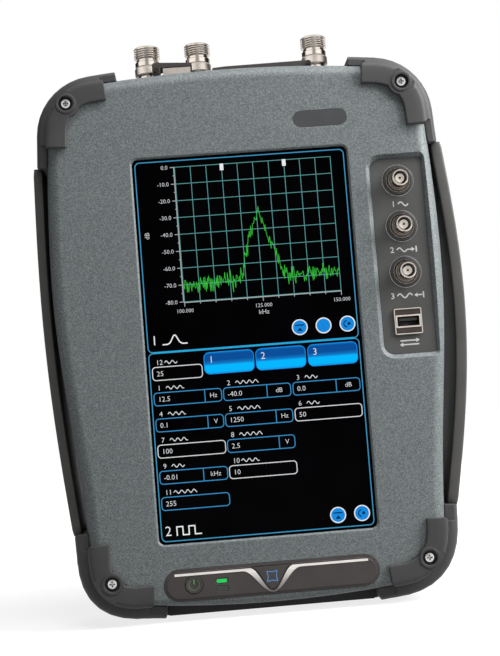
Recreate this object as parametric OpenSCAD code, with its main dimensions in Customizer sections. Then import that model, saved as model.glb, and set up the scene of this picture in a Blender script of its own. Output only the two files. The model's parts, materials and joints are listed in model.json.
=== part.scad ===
// Portable radio communication tester in portrait format.
// X runs to the right, Y from the front to the back and Z up, in millimetres.
// The origin is the middle of the foot that the tester stands on.
// Depths are measured from the front face of the body, positive towards the back.

/* [Body] */
// Width of the body at its widest height
body_w = 232.4; // [225:0.2:280]
// Height of the body from its lower edge to the crown of its top edge
body_h = 316.5; // [312:0.5:380]
// Depth of the body from its front face to its back face
case_d = 69; // [64:0.5:84]
// Height of the body's lower edge above the foot
foot_z = 7; // [6:0.5:9]
// Height of the widest place
widest_z = 203; // [180:1:220]
// How far each side draws in from the widest place to the foot
drop_low = 11.7; // [8:0.1:15]
// Height over which the sides draw in below the widest place
span_low = 170; // [160:1:190]
// How far each side would draw in above the widest place
drop_high = 5.4; // [3:0.1:8]
// Height over which the sides draw in above the widest place
span_high = 150; // [140:1:180]
// Radius of the crowned top edge
top_crown_r = 825; // [700:5:1200]
// Radius of the crowned lower edge
low_crown_r = 700; // [600:5:1000]
// Radius of the upper corners
corner_top_r = 30; // [25:0.5:34]
// Radius of the lower corners
corner_low_r = 36; // [30:0.5:38]
// Radius of the front edge
edge_r = 8; // [6:0.25:9]
// Radius of the front edge along the foot
edge_low_r = 4.5; // [3.5:0.25:5]
// Radius of the back edge
back_r = 10; // [7:0.25:11]
// Thickness of the side walls
wall = 3; // [2.4:0.1:3.6]
// Thickness of the front and back walls
face_wall = 3.2; // [2.8:0.1:3.8]
// Depth of the front housing
front_d = 26; // [25.6:0.1:27]
// Thickness of the seal between the housings
seal_t = 0.8; // [0.6:0.1:1]

/* [Screen] */
// Width of the window
window_w = 127.6; // [118:0.2:134]
// Height of the window
window_h = 226; // [200:0.5:232]
// Height of the window's middle
screen_z = 158; // [152:0.5:164]
// Corner radius of the window
window_r = 3.5; // [2:0.1:6]
// Depth of the window's lip
window_lip = 1.4; // [1.2:0.1:1.8]
// Overlap of the glass behind the window
glass_lap = 4; // [3:0.1:5]
// Thickness of the touch glass
glass_t = 1.8; // [1.4:0.1:2.2]
// Thickness of the window seal
window_seal_t = 0.5; // [0.4:0.1:0.8]
// Thickness of the display module
lcd_t = 6; // [5:0.1:7]

/* [Keys] */
// Length of the key bar
bar_w = 125; // [110:0.5:130]
// Height of the key bar
bar_h = 18; // [17:0.25:18.5]
// Height of the key bar's middle above the body's lower edge
bar_up = 14.2; // [13.8:0.1:15]
// How far the key bar stands out of the front face
bar_out = 0.8; // [0.4:0.1:1.2]
// Radius of the power key
power_r = 5; // [4:0.1:5.6]
// Distance of the power key from the middle
power_x = 45.4; // [42:0.1:48]
// Width of the centre key along its upper edge
home_w = 23; // [20:0.2:26]
// Travel of the keys
key_travel = 0.8; // [0.5:0.1:1]
// Gap around a key
key_gap = 0.35; // [0.25:0.05:0.5]

/* [Side panel] */
// Width of the panel plate
panel_w = 31.2; // [29:0.2:32]
// Height of the panel plate
panel_h = 116.4; // [112:0.2:118]
// Height of the panel's middle
panel_z = 203.2; // [200:0.2:208]
// Distance of the panel's outer edge from the body's widest place
panel_in = 8; // [7:0.1:9]
// Depth of the panel below the front face
panel_d = 2.6; // [2.2:0.1:3]
// Thickness of the panel
panel_t = 1.8; // [1.4:0.1:2.2]
// Width of the sloped wall around the panel
panel_slope = 2.6; // [1.5:0.1:3]
// Height of the upper bayonet jack
bnc_z = 248.2; // [246:0.1:250]
// Spacing of the bayonet jacks
bnc_pitch = 27.4; // [24:0.1:28]
// Radius of a bayonet jack's barrel
bnc_r = 4.83; // [4.5:0.01:5.2]
// How far a bayonet jack stands out of the front face
bnc_out = 8; // [6:0.25:9.5]
// Height of the data port's middle
usb_z = 164; // [162:0.1:166]
// Width and height of the data port's mouth
usb_mouth = [13.1, 5.7]; // [12.9:0.1:13.4]

/* [Top sockets] */
// Outer radius of a radio-frequency jack's thread
rf_r = 7.94; // [7:0.01:8.4]
// Height of a radio-frequency jack above the crown of the top edge
rf_h = 23.3; // [22:0.1:26]
// Depth of the radio-frequency jacks' axes
rf_d = 33; // [32.8:0.1:36]
// Sideways places of the radio-frequency jacks
rf_x = [-50.8, -19.6, 53]; // [-60:0.2:60]
// Width of the shielded data jack
data_w = 16.6; // [16:0.1:17.4]
// Sideways place of the data jack's middle
data_x = -33; // [-33.4:0.1:-32]
// Height of the data jack above the crown of the top edge
data_h = 3.9; // [3.4:0.1:4.4]
// Front and back depth of the sockets' covers
cover_d = [9.6, 22.4]; // [9:0.1:23]
// Thickness of the data jack's cover
cover_t = 2.6; // [2.2:0.1:3]
// Ends of the long port cover
port_x = [-12, 48.6]; // [-14:0.1:50]
// Height of the long port cover above the crown of the top edge
port_h = 3; // [2.6:0.1:3.4]

/* [Bumpers and straps] */
// Reach of a bumper's lips over the front and back faces
lip_w = 12.5; // [11:0.1:13.5]
// Thickness of the lips
lip_t = 2.6; // [2:0.1:3]
// Thickness of an upper bumper's skirt
skirt_top_t = 6.6; // [6.3:0.1:8]
// Thickness of a lower bumper's skirt
skirt_low_t = 8.5; // [8.3:0.1:10]
// Distance of the upper bumpers' ends from the middle
skirt_top_x = 69.5; // [66:0.1:72]
// Distance of the lower bumpers' ends from the middle
skirt_low_x = 62; // [60:0.1:66]
// Height of the upper bumpers' lower ends below the crown
skirt_top_down = 53; // [50:0.1:56]
// Height of the lower bumpers' upper ends above the body's lower edge
skirt_low_up = 47.5; // [45:0.1:54]
// How far the lips stop short of the skirts' ends along the top and the foot
lip_short = 7.4; // [5:0.1:8]
// How far an upper bumper's lips stop short of its lower end
lip_top_short = 11; // [8:0.1:13]
// How far a lower bumper's lips stop short of its upper end
lip_low_short = 6.8; // [4:0.1:8]
// Distances of an upper bumper screw from the side and the top of the corner
screw_top_in = [13.2, 12.5]; // [11:0.1:16]
// Distances of a lower bumper screw from the side and the foot of the corner
screw_low_in = [12.5, 15]; // [11:0.1:17]
// Radius of a bumper's screw boss
boss_r = 8.1; // [7.6:0.1:9]
// Radius of the raised ring around a bumper's screw
boss_ring_r = 5.9; // [5:0.1:7]
// Thickness of a strap
strap_t = 5.8; // [5:0.1:6.4]
// Width of a strap from front to back
strap_w = 42; // [36:0.5:44]
// Distance of a strap's upper end outside the body's side
strap_top_off = 8.7; // [8.4:0.1:10]
// Distance of a strap's lower end outside the body's side
strap_low_off = 9; // [8.6:0.1:10]
// How far the left and the right strap bow out
strap_bow = [6.7, 11]; // [4:0.1:14]
// Depth of the bottom rail's front below the front face
rail_d = 27; // [14:0.5:30]
// Gap between a strap's end and the bumper
strap_gap = 1.2; // [0.8:0.1:3]

/* [Back] */
// Width and height of the battery bay
bay = [124, 106]; // [100:1:130]
// Height of the battery bay's lower edge
bay_z = 44; // [40:1:50]
// Depth of the battery bay
bay_d = 22; // [18:0.5:24]
// Width and length of the tilt stand
stand = [96, 108]; // [80:1:110]
// Height of the tilt stand's pins below the crown
stand_down = 30; // [26:0.5:36]
// Thickness of the tilt stand
stand_t = 4.4; // [3.6:0.1:5]
// Radius of the tilt stand's pins
stand_pin_r = 1.6; // [1.4:0.05:2]

/* [Fits] */
// Gap between pieces that sit loosely together
gap = 0.3; // [0.2:0.05:0.5]
// Gap of a fixed piece in its seat
seat = 0.15; // [0.1:0.05:0.3]
// Radial clearance of a turning pin
run = 0.05; // [0.03:0.01:0.08]

/* [Hidden] */
$fn = 48;

paint = "#6c757b";
rubber = "#3a3b3d";
plate_grey = "#47494b";
black = "#1c1d1f";
nickel = "#cfcac4";
steel = "#b9bcc0";
gold = "#c9a24a";
board_green = "#2f6b45";
white = "#ece9e2";

// The front face sits so that the whole tester is centred from front to back.
front_y = -(case_d + lip_t - bnc_out) / 2;
top_z = foot_z + body_h;
reach = 500;

// Outline of the body
function half_w(z) = let (low = z < widest_z)
    body_w / 2 - (low ? drop_low : drop_high)
        * (1 - cos(180 * (z - widest_z) / (low ? span_low : span_high))) / 2;
function top_line(x) = top_z - x * x / (2 * top_crown_r);
function low_line(x) = foot_z + x * x / (2 * low_crown_r);

corner_steps = 9;
edge_steps = 4;
side_steps = 14;
fit_rounds = 6;
function slope_w(z) = let (low = z < widest_z, span = low ? span_low : span_high)
    -(low ? drop_low : drop_high) * PI / (2 * span) * sin(180 * (z - widest_z) / span);
// Each corner is an arc that touches the side and the top or lower edge. It is found by a few rounds of fitting
// and kept as its centre and the tilts of its two ends. The sign s is 1 at the top and -1 at the foot.
function fitted(c, r, s, n) = n == 0 ? c : let (
    a = atan((c[0] + r * sin(c[2])) / (s > 0 ? top_crown_r : low_crown_r)),
    b = atan(-slope_w(c[1] + r * sin(c[3]))),
    x = half_w(c[1] + r * sin(b)) - r * cos(b),
    edge = s > 0 ? top_line(x + r * sin(a)) : low_line(x + r * sin(a)))
    fitted([x, edge - s * r * cos(a), a, b], r, s, n - 1);
top_fit = fitted([body_w / 2 - corner_top_r, top_z - corner_top_r, 0, 0], corner_top_r, 1, fit_rounds);
low_fit = fitted([body_w / 2 - corner_low_r, foot_z + corner_low_r, 0, 0], corner_low_r, -1, fit_rounds);

// Points of the outline with their outward normals; u runs from the side (0) to the top or lower edge (1)
function on_arc(c, r, t) = [[c[0] + r * cos(t), c[1] + r * sin(t)], [cos(t), sin(t)]];
function top_corner(u) = on_arc(top_fit, corner_top_r, top_fit[3] + (90 - top_fit[2] - top_fit[3]) * u);
function low_corner(u) = on_arc(low_fit, corner_low_r, low_fit[3] - (90 - low_fit[2] + low_fit[3]) * u);
function on_top(x) = let (t = atan(x / top_crown_r)) [[x, top_line(x)], [sin(t), cos(t)]];
function on_foot(x) = let (t = atan(x / low_crown_r)) [[x, low_line(x)], [sin(t), -cos(t)]];
function on_side(z) = let (t = atan(-slope_w(z))) [[half_w(z), z], [cos(t), sin(t)]];
function steps(a, b, n) = [for (i = [1 : n]) a + (b - a) * i / n];

top_end = top_corner(1)[0];
low_end = low_corner(1)[0];
right_half = concat(
    [for (x = concat([0], steps(0, low_end.x, edge_steps))) on_foot(x)],
    [for (u = steps(1, 0, corner_steps)) low_corner(u)],
    [for (z = steps(low_corner(0)[0].y, top_corner(0)[0].y, side_steps)) on_side(z)],
    [for (u = steps(0, 1, corner_steps)) top_corner(u)],
    [for (x = steps(top_end.x, 0, edge_steps)) on_top(x)]);
whole = concat(right_half, [for (i = [len(right_half) - 2 : -1 : 1])
    [for (v = right_half[i]) [-v.x, v.y]]]);
outline = [for (w = whole) w[0]];
normals = [for (w = whole) w[1]];
function grown(t) = [for (w = whole) w[0] + w[1] * t];

// The front edge is rounder along the sides and the top than along the foot.
blend_hi = low_fit[1];
blend_lo = blend_hi - 0.6 * corner_low_r;
function front_r(z) = let (u = min(1, max(0, (z - blend_lo) / (blend_hi - blend_lo))))
    edge_low_r + (edge_r - edge_low_r) * u * u * (3 - 2 * u);

// Builders
module slab(d0, d1) {
    translate([0, front_y + d1, 0]) rotate([90, 0, 0]) linear_extrude(d1 - d0) children();
}
module rod(x, z, r, d0, d1) {
    translate([x, front_y + d1, z]) rotate([90, 0, 0]) cylinder(r = r, h = d1 - d0);
}
module block(x0, x1, d0, d1, z0, z1) {
    translate([x0, front_y + d0, z0]) cube([x1 - x0, d1 - d0, z1 - z0]);
}
module upright(x, d, z) {
    translate([x, front_y + d, z]) children();
}
module both_sides() {
    children();
    mirror([1, 0, 0]) children();
}
// Closed skin over a run of loops, each counter-clockwise as seen from before the first
module skin(loops) {
    n = len(loops[0]);
    last = (len(loops) - 1) * n;
    bands = [for (k = [0 : len(loops) - 2]) for (i = [0 : n - 1])
        let (a = k * n + i, b = k * n + (i + 1) % n) each [[a, b, b + n], [a, b + n, a + n]]];
    polyhedron(points = [for (l = loops) each l],
        faces = concat([[for (i = [n - 1 : -1 : 0]) i]], [[for (i = [0 : n - 1]) last + i]], bands),
        convexity = 8);
}
// Rectangle with round corners, as points
function rounded(x0, x1, z0, z1, r, n = 5) = [
    for (c = [[x1 - r, z0 + r, -90], [x1 - r, z1 - r, 0], [x0 + r, z1 - r, 90], [x0 + r, z0 + r, 180]])
        for (i = [0 : n]) [c[0] + r * cos(c[2] + 90 * i / n), c[1] + r * sin(c[2] + 90 * i / n)]];
// The side panel's outline, grown by t: round towards the screen and nearly square towards the side
function panel_points(t) = let (x0 = panel_x0 - t, x1 = panel_x1 + t, z0 = panel_z0 - t, z1 = panel_z1 + t,
    a = panel_outer_r + t, b = panel_r + t) concat(
    [for (c = [[x1 - a, z0 + a, -90], [x1 - a, z1 - a, 0]]) for (i = [0 : 5])
        [c[0] + a * cos(c[2] + 18 * i), c[1] + a * sin(c[2] + 18 * i)]],
    [for (c = [[x0 + b, z1 - b, 90], [x0 + b, z0 + b, 180]]) for (i = [0 : 5])
        [c[0] + b * cos(c[2] + 18 * i), c[1] + b * sin(c[2] + 18 * i)]]);
function at_depth(pts, d) = [for (p = pts) [p.x, front_y + d, p.y]];
// Rectangle that widens by a slope between two depths
module flared(x0, x1, z0, z1, r, d0, d1, flare) {
    skin([at_depth(rounded(x0 - flare, x1 + flare, z0 - flare, z1 + flare, r + flare), d0),
        at_depth(rounded(x0, x1, z0, z1, r), d1)]);
}

// Places shared by several pieces
seam_d = front_d + seal_t;
step_in = 3;
glass_d = window_lip + window_seal_t;
lcd_d = glass_d + glass_t;
chassis_d = lcd_d + lcd_t;
chassis_t = 1.5;
board_t = 1.6;
board_up = 4;
board_d = chassis_d + chassis_t + board_up;
lcd_rim = 3.5;
glass_w = window_w + 2 * glass_lap;
glass_h = window_h + 2 * glass_lap;
lcd_w = glass_w + 2 * lcd_rim;
lcd_h = glass_h;

panel_x1 = body_w / 2 - panel_in;
panel_x0 = panel_x1 - panel_w;
panel_z0 = panel_z - panel_h / 2;
panel_z1 = panel_z + panel_h / 2;
panel_r = 6;
panel_outer_r = 1.2;
panel_ledge = 3;
bnc_x = (panel_x0 + panel_x1) / 2 + 0.6;
usb_x = bnc_x - 1;
bnc_hole_r = 6.2;
washer_r = 9.2;
washer_t = 1.1;
io_board_d = 14;

chassis_boss_x = window_w / 2 + glass_lap + lcd_rim + 14;
chassis_boss_z = [screen_z - 113, screen_z - 28, screen_z + 118];
chassis_rim = 5;
chassis_x1 = chassis_boss_x + chassis_rim;
screw_r = 2;
screw_head_r = 2.9;
screw_top = [top_fit[0] + corner_top_r - screw_top_in.x, top_fit[1] + corner_top_r - screw_top_in.y];
screw_low = [low_fit[0] + corner_low_r - screw_low_in.x, low_fit[1] - corner_low_r + screw_low_in.y];
screw_places = [screw_top, screw_low];
screw_seat = 0.7;
back_screw_in = 13.5;
back_screw_places = [for (z = [foot_z + 103, top_z - 55.5]) [half_w(z) - back_screw_in, z]];
back_boss_r = 4.6;
back_sink = 4;

bar_z = foot_z + bar_up;
bar_back = 2.4;
bar_ledge = 2;
bar_rim = 1.5;
key_flange_d = bar_back + gap;
key_flange_t = 1.2;
home_top = bar_z + bar_h / 2 - bar_rim - 0.4;
home_tip = bar_z - bar_h / 2 + 3.1;
switch_d = key_flange_d + key_flange_t + key_travel + gap;
switch_t = 2.4;
key_board_d = switch_d + switch_t;

data_top = top_z + data_h;
data_wall = 0.9;
socket_foot = top_z - 17.5;
cover_pivot = [data_x - data_w / 2 - 4, top_line(data_x) + 3.3];
cover_knuckle_r = 2.4;
cover_pin_r = 1.1;
port_pivot = [port_x[1] - 2, top_line(port_x[1]) + 2.5];
port_knuckle_r = 2;
port_pin_r = 0.9;
post_d = [cover_d[1] + gap, front_d - 0.2];
post_w = 5;
pin_head = 0.9;

rf_shank_r = 6;
rf_foot = top_z - 9.5;
rf_tip = top_z + rf_h;
rf_thread_h = 7.4;
rf_groove_h = 1.6;
rf_ring_h = 3.4;
rf_collar_h = 5.6;
rf_collar_r = rf_r + 0.1;
rf_bore_r = 5.6;
rf_pin_r = 1.6;

bay_floor = case_d - bay_d;
bay_wall = 2;
bay_x = bay[0] / 2;
bay_top = bay_z + bay[1];
door_t = 3.2;
door_lap = [3, 14];
door_sink = 1.7;
door_ledge = 2.2;
stand_pin_z = top_z - stand_down;
stand_barrel_r = 3.2;
stand_pin_d = case_d - stand_barrel_r + 0.6;
stand_floor = stand_pin_d - stand_barrel_r - gap;
stand_pocket_x = stand[0] / 2 + gap;
stand_pin_l = 6;

strap_mid_d = 31;
strap_z1 = top_z - skirt_top_down - strap_gap;
strap_z0 = foot_z + skirt_low_up + strap_gap;
link_t = 1.2;
link_w = 24;
link_in = 7;
link_off = [4.7, 5.6];

// Body shells
function front_loops() = concat(
    [for (a = [0 : 18 : 90]) [for (i = [0 : len(outline) - 1])
        let (p = outline[i], r = front_r(p.y), q = p - normals[i] * r * (1 - sin(a)))
            [q.x, front_y + r * (1 - cos(a)), q.y]]],
    [at_depth(outline, front_d)]);
function rear_loops() = concat(
    [at_depth(outline, seam_d)],
    [for (a = [90 : -18 : 0]) at_depth(grown(-back_r * (1 - sin(a))), case_d - back_r * (1 - cos(a)))]);

module cavity(d0, d1, t) {
    slab(d0, d1) polygon(grown(-t));
}
module front_cavity() {
    cavity(face_wall, face_wall + step_in, wall + step_in);
    cavity(face_wall + step_in - 0.01, front_d + 1, wall);
}
module front_bosses() {
    for (z = chassis_boss_z) both_sides() rod(chassis_boss_x, z, 3.6, face_wall - 0.4, chassis_d);
    for (p = screw_places) both_sides() rod(p.x, p.y, 4, face_wall + step_in - 0.7, 14);
    for (p = back_screw_places) both_sides() rod(p.x, p.y, back_boss_r, face_wall - 0.4, front_d);
}
module panel_pad() {
    block(panel_x0 - panel_ledge, panel_x1, face_wall - 0.4, face_wall + step_in, panel_z0 - panel_ledge,
        panel_z1 + panel_ledge);
}
module front_housing() {
    color(paint) difference() {
        union() {
            difference() {
                skin(front_loops());
                front_cavity();
            }
            front_bosses();
            panel_pad();
        }
        window_cut();
        panel_cut();
        bar_cut();
        badge_cut();
        top_cuts();
        for (p = screw_places) both_sides() rod(p.x, p.y, screw_r + seat, -1, 13);
        for (p = back_screw_places) both_sides() rod(p.x, p.y, screw_r + seat, front_d - 16, front_d + 1);
    }
}
module window_cut() {
    x = window_w / 2;
    z = window_h / 2;
    bevel = 1;
    slab(-1, face_wall + 1) polygon(rounded(-x, x, screen_z - z, screen_z + z, window_r));
    flared(-x, x, screen_z - z, screen_z + z, window_r, -0.2, bevel, bevel + 0.2);
    slab(window_lip, lcd_d + 1)
        polygon(rounded(-glass_w / 2 - seat, glass_w / 2 + seat, screen_z - glass_h / 2 - seat,
            screen_z + glass_h / 2 + seat, window_r));
}
module panel_cut() {
    inner = panel_r - panel_ledge;
    skin([at_depth(panel_points(panel_slope + 0.4), -0.4), at_depth(panel_points(seat), panel_d)]);
    slab(panel_d - 0.01, panel_d + panel_t) polygon(panel_points(seat));
    slab(panel_d, face_wall + step_in + 1)
        polygon(rounded(panel_x0 + panel_ledge, panel_x1 - panel_ledge, panel_z0 + panel_ledge,
            panel_z1 - panel_ledge, inner));
}
function bar_points(t) = rounded(-bar_w / 2 - t, bar_w / 2 + t, bar_z - bar_h / 2 - t, bar_z + bar_h / 2 + t,
    bar_h / 2 + t - 0.01, 8);
module bar_cut() {
    slab(-1, bar_back) polygon(bar_points(seat));
    slab(bar_back - 0.01, face_wall + step_in) polygon(bar_points(-bar_ledge));
}
badge = [49.4, screen_z + 130.4];
badge_size = [32, 9.6];
badge_t = 0.8;
module badge_shape(t) {
    w = badge_size.x / 2 + t;
    h = badge_size.y / 2 + t;
    polygon(rounded(badge.x - w, badge.x + w, badge.y - h, badge.y + h, h - 0.01, 8));
}
module badge_cut() {
    slab(-1, badge_t) badge_shape(seat);
}
module top_cuts() {
    block(data_x - data_w / 2 - seat, data_x + data_w / 2 + seat,
        cover_d[0] + 0.4 - seat, cover_d[1] - 0.4 + seat,
        top_z - 12, top_z + 5);
    upright(power_socket_x, socket_d, top_z - 12) cylinder(r = power_socket_r + seat, h = 20);
    block(service_x - service_w / 2 - seat, service_x + service_w / 2 + seat, socket_d - service_l / 2 - seat,
        socket_d + service_l / 2 + seat, top_z - 12, top_z + 5);
}

module rear_housing() {
    color(paint) difference() {
        union() {
            difference() {
                skin(rear_loops());
                cavity(seam_d - 1, case_d - face_wall, wall);
            }
            block(-bay_x - bay_wall, bay_x + bay_wall, bay_floor - bay_wall, case_d - face_wall + 0.4,
                bay_z - bay_wall, bay_top + bay_wall);
            slab(case_d - door_t - door_ledge, case_d - face_wall + 0.4) polygon(door_points(2));
            door_screw_places() rod(0, 0, back_boss_r, case_d - 16, case_d - door_t);
            block(-stand_pocket_x - stand_pin_l - 2, stand_pocket_x + stand_pin_l + 2, stand_floor - bay_wall,
                case_d - face_wall + 0.4, stand_pin_z - stand[1] - bay_wall, stand_pin_z + 8);
            for (p = back_screw_places) both_sides()
                rod(p.x, p.y, back_boss_r, seam_d, case_d - face_wall + 0.4);
        }
        block(-bay_x, bay_x, bay_floor, case_d + 1, bay_z, bay_top);
        slab(case_d - door_t, case_d + 1) polygon(door_points(seat));
        stand_pocket();
        for (x = rf_x) upright(x, rf_d, top_z - 10) cylinder(r = rf_shank_r + seat, h = 20);
        for (p = back_screw_places) both_sides() {
            rod(p.x, p.y, screw_r + seat, seam_d - 1, case_d + 1);
            rod(p.x, p.y, screw_head_r + gap, case_d - back_sink, case_d + 1);
        }
        for (p = screw_places) both_sides() rod(p.x, p.y, screw_r + seat, case_d - 12, case_d + 1);
        door_screw_places() rod(0, 0, screw_r + seat, case_d - 15.5, case_d + 1);
        both_sides() translate([stand_pocket_x - 1, front_y + stand_pin_d, stand_pin_z]) rotate([0, 90, 0])
            cylinder(r = stand_pin_r, h = stand_pin_l + 1);
    }
}
function door_points(t) = rounded(-bay_x - door_lap.x - t, bay_x + door_lap.x + t, bay_z - door_lap.y - t,
    bay_top + door_lap.y + t, 6);
module door_screw_places() {
    for (x = [-1, 1]) for (z = [bay_z - door_lap.y / 2, bay_top + door_lap.y / 2])
        translate([x * (bay_x - 14), 0, z]) children();
}
module stand_pocket() {
    block(-stand_pocket_x, stand_pocket_x, stand_floor, case_d + 1, stand_pin_z - stand[1] - gap,
        stand_pin_z + stand_barrel_r + gap);
    finger = 11;
    rod(0, stand_pin_z - stand[1] + 2, finger, stand_floor, case_d + 1);
}
module housing_gasket() {
    color(black) slab(front_d, seam_d) difference() {
        polygon(grown(-0.4));
        polygon(grown(-wall));
    }
}

// Screen stack
module screen_gasket() {
    color(black) slab(window_lip, glass_d) difference() {
        polygon(rounded(-glass_w / 2, glass_w / 2, screen_z - glass_h / 2, screen_z + glass_h / 2, window_r));
        polygon(rounded(-window_w / 2 - 1, window_w / 2 + 1,
            screen_z - window_h / 2 - 1, screen_z + window_h / 2 + 1,
            window_r));
    }
}
module touch_glass() {
    color("#0b0d10") slab(glass_d, lcd_d)
        polygon(rounded(-glass_w / 2, glass_w / 2, screen_z - glass_h / 2, screen_z + glass_h / 2, window_r));
}
module lcd_module() {
    rim = 2;
    color(steel) difference() {
        slab(lcd_d, chassis_d)
            polygon(rounded(-lcd_w / 2, lcd_w / 2, screen_z - lcd_h / 2, screen_z + lcd_h / 2, 1.5));
        slab(chassis_d - 1.2, chassis_d + 1) polygon(rounded(-lcd_w / 2 + rim, lcd_w / 2 - rim,
            screen_z - lcd_h / 2 + rim, screen_z + lcd_h / 2 - rim, 1));
    }
}
module chassis_shape() {
    z0 = chassis_boss_z[0] - chassis_rim;
    z1 = chassis_boss_z[2] + chassis_rim;
    notch = lcd_w / 2 + 1;
    polygon([[-chassis_x1, z0], [chassis_x1, z0], [chassis_x1, panel_z0 - 5], [notch, panel_z0 - 5],
        [notch, panel_z1 + 5], [chassis_x1, panel_z1 + 5], [chassis_x1, z1], [-chassis_x1, z1]]);
}
standoff_places = [for (x = [-1, 1]) for (z = [-88, 0, 88]) [x * (window_w / 2 - 6), screen_z + z]];
module chassis_plate() {
    color(steel) {
        difference() {
            slab(chassis_d, chassis_d + chassis_t) chassis_shape();
            for (z = chassis_boss_z) both_sides()
                rod(chassis_boss_x, z, 1.6, chassis_d - 1, chassis_d + chassis_t + 1);
        }
        for (p = standoff_places) rod(p.x, p.y, 3, chassis_d + chassis_t - 0.01, board_d);
    }
}

// Boards and modules
module main_board() {
    x = window_w / 2 + 4;
    color(board_green) difference() {
        slab(board_d, board_d + board_t) polygon(rounded(-x, x, screen_z - 106, screen_z + 104, 3));
        for (p = standoff_places) rod(p.x, p.y, 1.4, board_d - 1, board_d + board_t + 1);
    }
}
module shield_can() {
    can = [70, 62, 6];
    lid = 0.6;
    color(nickel) difference() {
        slab(board_d + board_t, board_d + board_t + can.z)
            polygon(rounded(-can.x / 2, can.x / 2, screen_z - can.y / 2, screen_z + can.y / 2, 2));
        slab(board_d + board_t - 1, board_d + board_t + can.z - lid)
            polygon(rounded(-can.x / 2 + lid, can.x / 2 - lid,
            screen_z - can.y / 2 + lid, screen_z + can.y / 2 - lid, 1.4));
    }
}
rf_box_x = [rf_x[0] - 14, rf_x[2] + 14];
rf_box_h = 12;
module rf_module() {
    fin_n = 12;
    fin_gap = (rf_box_x[1] - rf_box_x[0]) / fin_n;
    color(steel) difference() {
        block(rf_box_x[0], rf_box_x[1], seam_d + 0.4, rf_d + 14, rf_foot - rf_box_h, rf_foot);
        for (i = [1 : fin_n - 1])
            block(rf_box_x[0] + i * fin_gap - 1.5, rf_box_x[0] + i * fin_gap + 1.5, rf_d + 11, rf_d + 15,
                rf_foot - rf_box_h - 1, rf_foot - 3);
    }
}
module jack_board() {
    color(board_green) block(data_x - data_w / 2 - 3, service_x + service_w / 2 + 3,
        cover_d[0] + 1, cover_d[1] - 1,
        socket_foot - board_t, socket_foot);
}
module io_board() {
    color(board_green) difference() {
        block(bnc_x - 13, bnc_x + 13, io_board_d, io_board_d + board_t, usb_z - 10, bnc_z + 9);
        for (i = [0 : 2]) rod(bnc_x, bnc_z - i * bnc_pitch, 1.2, io_board_d - 1, io_board_d + board_t + 1);
    }
}
switch_places = [[-power_x, bar_z], [0, bar_z + 1.4]];
module key_board() {
    x = bar_w / 2 - 3;
    h = bar_h / 2 - 3;
    post_x = bar_w / 2 - 6.4;
    color(board_green) {
        slab(key_board_d, key_board_d + board_t) polygon(rounded(-x, x, bar_z - h, bar_z + h, 2));
        for (p = switch_places) {
            block(p.x - 3, p.x + 3, switch_d + 1, key_board_d + 0.2, p.y - 3, p.y + 3);
            rod(p.x, p.y, 1.7, switch_d, switch_d + 1.1);
        }
        both_sides() rod(post_x, bar_z, 2.2, bar_back, key_board_d + 0.1);
    }
}
module battery_pack() {
    color(black) slab(bay_floor + gap, case_d - door_t - gap)
        polygon(rounded(-bay_x + gap, bay_x - gap, bay_z + gap, bay_top - gap - contact_h, 4));
}
contact_h = 7;
module battery_contacts() {
    w = 18;
    color(plate_grey) difference() {
        block(-w, w, bay_floor, bay_floor + 12, bay_top - contact_h + 0.4, bay_top);
        for (x = [-12 : 6 : 12])
            block(x - 1, x + 1, bay_floor + 3, bay_floor + 10, bay_top - contact_h, bay_top - 4);
    }
}
module battery_door() {
    finger = 9;
    color(paint) difference() {
        slab(case_d - door_t, case_d) polygon(door_points(0));
        for (z = [bay_z + 30 : 8 : bay_top - 30]) slab(case_d - 0.8, case_d + 1)
            polygon(rounded(-bay_x + 24, bay_x - 24, z - 1.2, z + 1.2, 1.19));
        rod(0, bay_z - door_lap.y + 1, finger, case_d - 1.1, case_d + 1);
        door_screw_places() rod(0, 0, screw_r + seat, case_d - door_t - 1, case_d + 1);
        door_screw_places() rod(0, 0, screw_head_r + gap, case_d - door_sink, case_d + 1);
    }
}
// Screw along the depth with its head's seat at d_head, pointing to d_tip
module pan_screw(d_head, d_tip, head_t) {
    s = d_tip > d_head ? 1 : -1;
    r = screw_head_r;
    rod(0, 0, screw_r, s > 0 ? d_head - 0.2 : d_tip, s > 0 ? d_tip : d_head + 0.2);
    translate([0, front_y + d_head, 0]) rotate([s * 90, 0, 0]) difference() {
        rotate_extrude() polygon([[0, 0], [r, 0], [r, 0.5 * head_t], [r - 0.3, 0.8 * head_t], [r - 1, head_t],
            [0, head_t]]);
        for (a = [0, 90]) rotate(a) translate([-0.55 * r, -0.4, head_t - 0.9]) cube([1.1 * r, 0.8, 2]);
    }
}
module back_screws() {
    color(steel) for (p = back_screw_places) both_sides() translate([p.x, 0, p.y])
        pan_screw(case_d - back_sink, front_d - 14, 1.8);
    color(steel) door_screw_places() pan_screw(case_d - door_sink, case_d - 15, 1.4);
}

// Key bar and keys
module key_bar() {
    color("#4a4545") difference() {
        union() {
            slab(-bar_out + 0.5, bar_back) polygon(bar_points(0));
            slab(-bar_out, bar_back) polygon(bar_points(-bar_rim));
        }
        rod(-power_x, bar_z, power_r + key_gap, -2, bar_back + 1);
        slab(-2, bar_back + 1) polygon(home_points(key_gap));
        slab(-bar_out - 1, -bar_out + trim_t) polygon(trim_points(seat));
        for (p = lamp_places) slab(-2, bar_back + 1) polygon(lamp_points(p, seat));
    }
}
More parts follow.
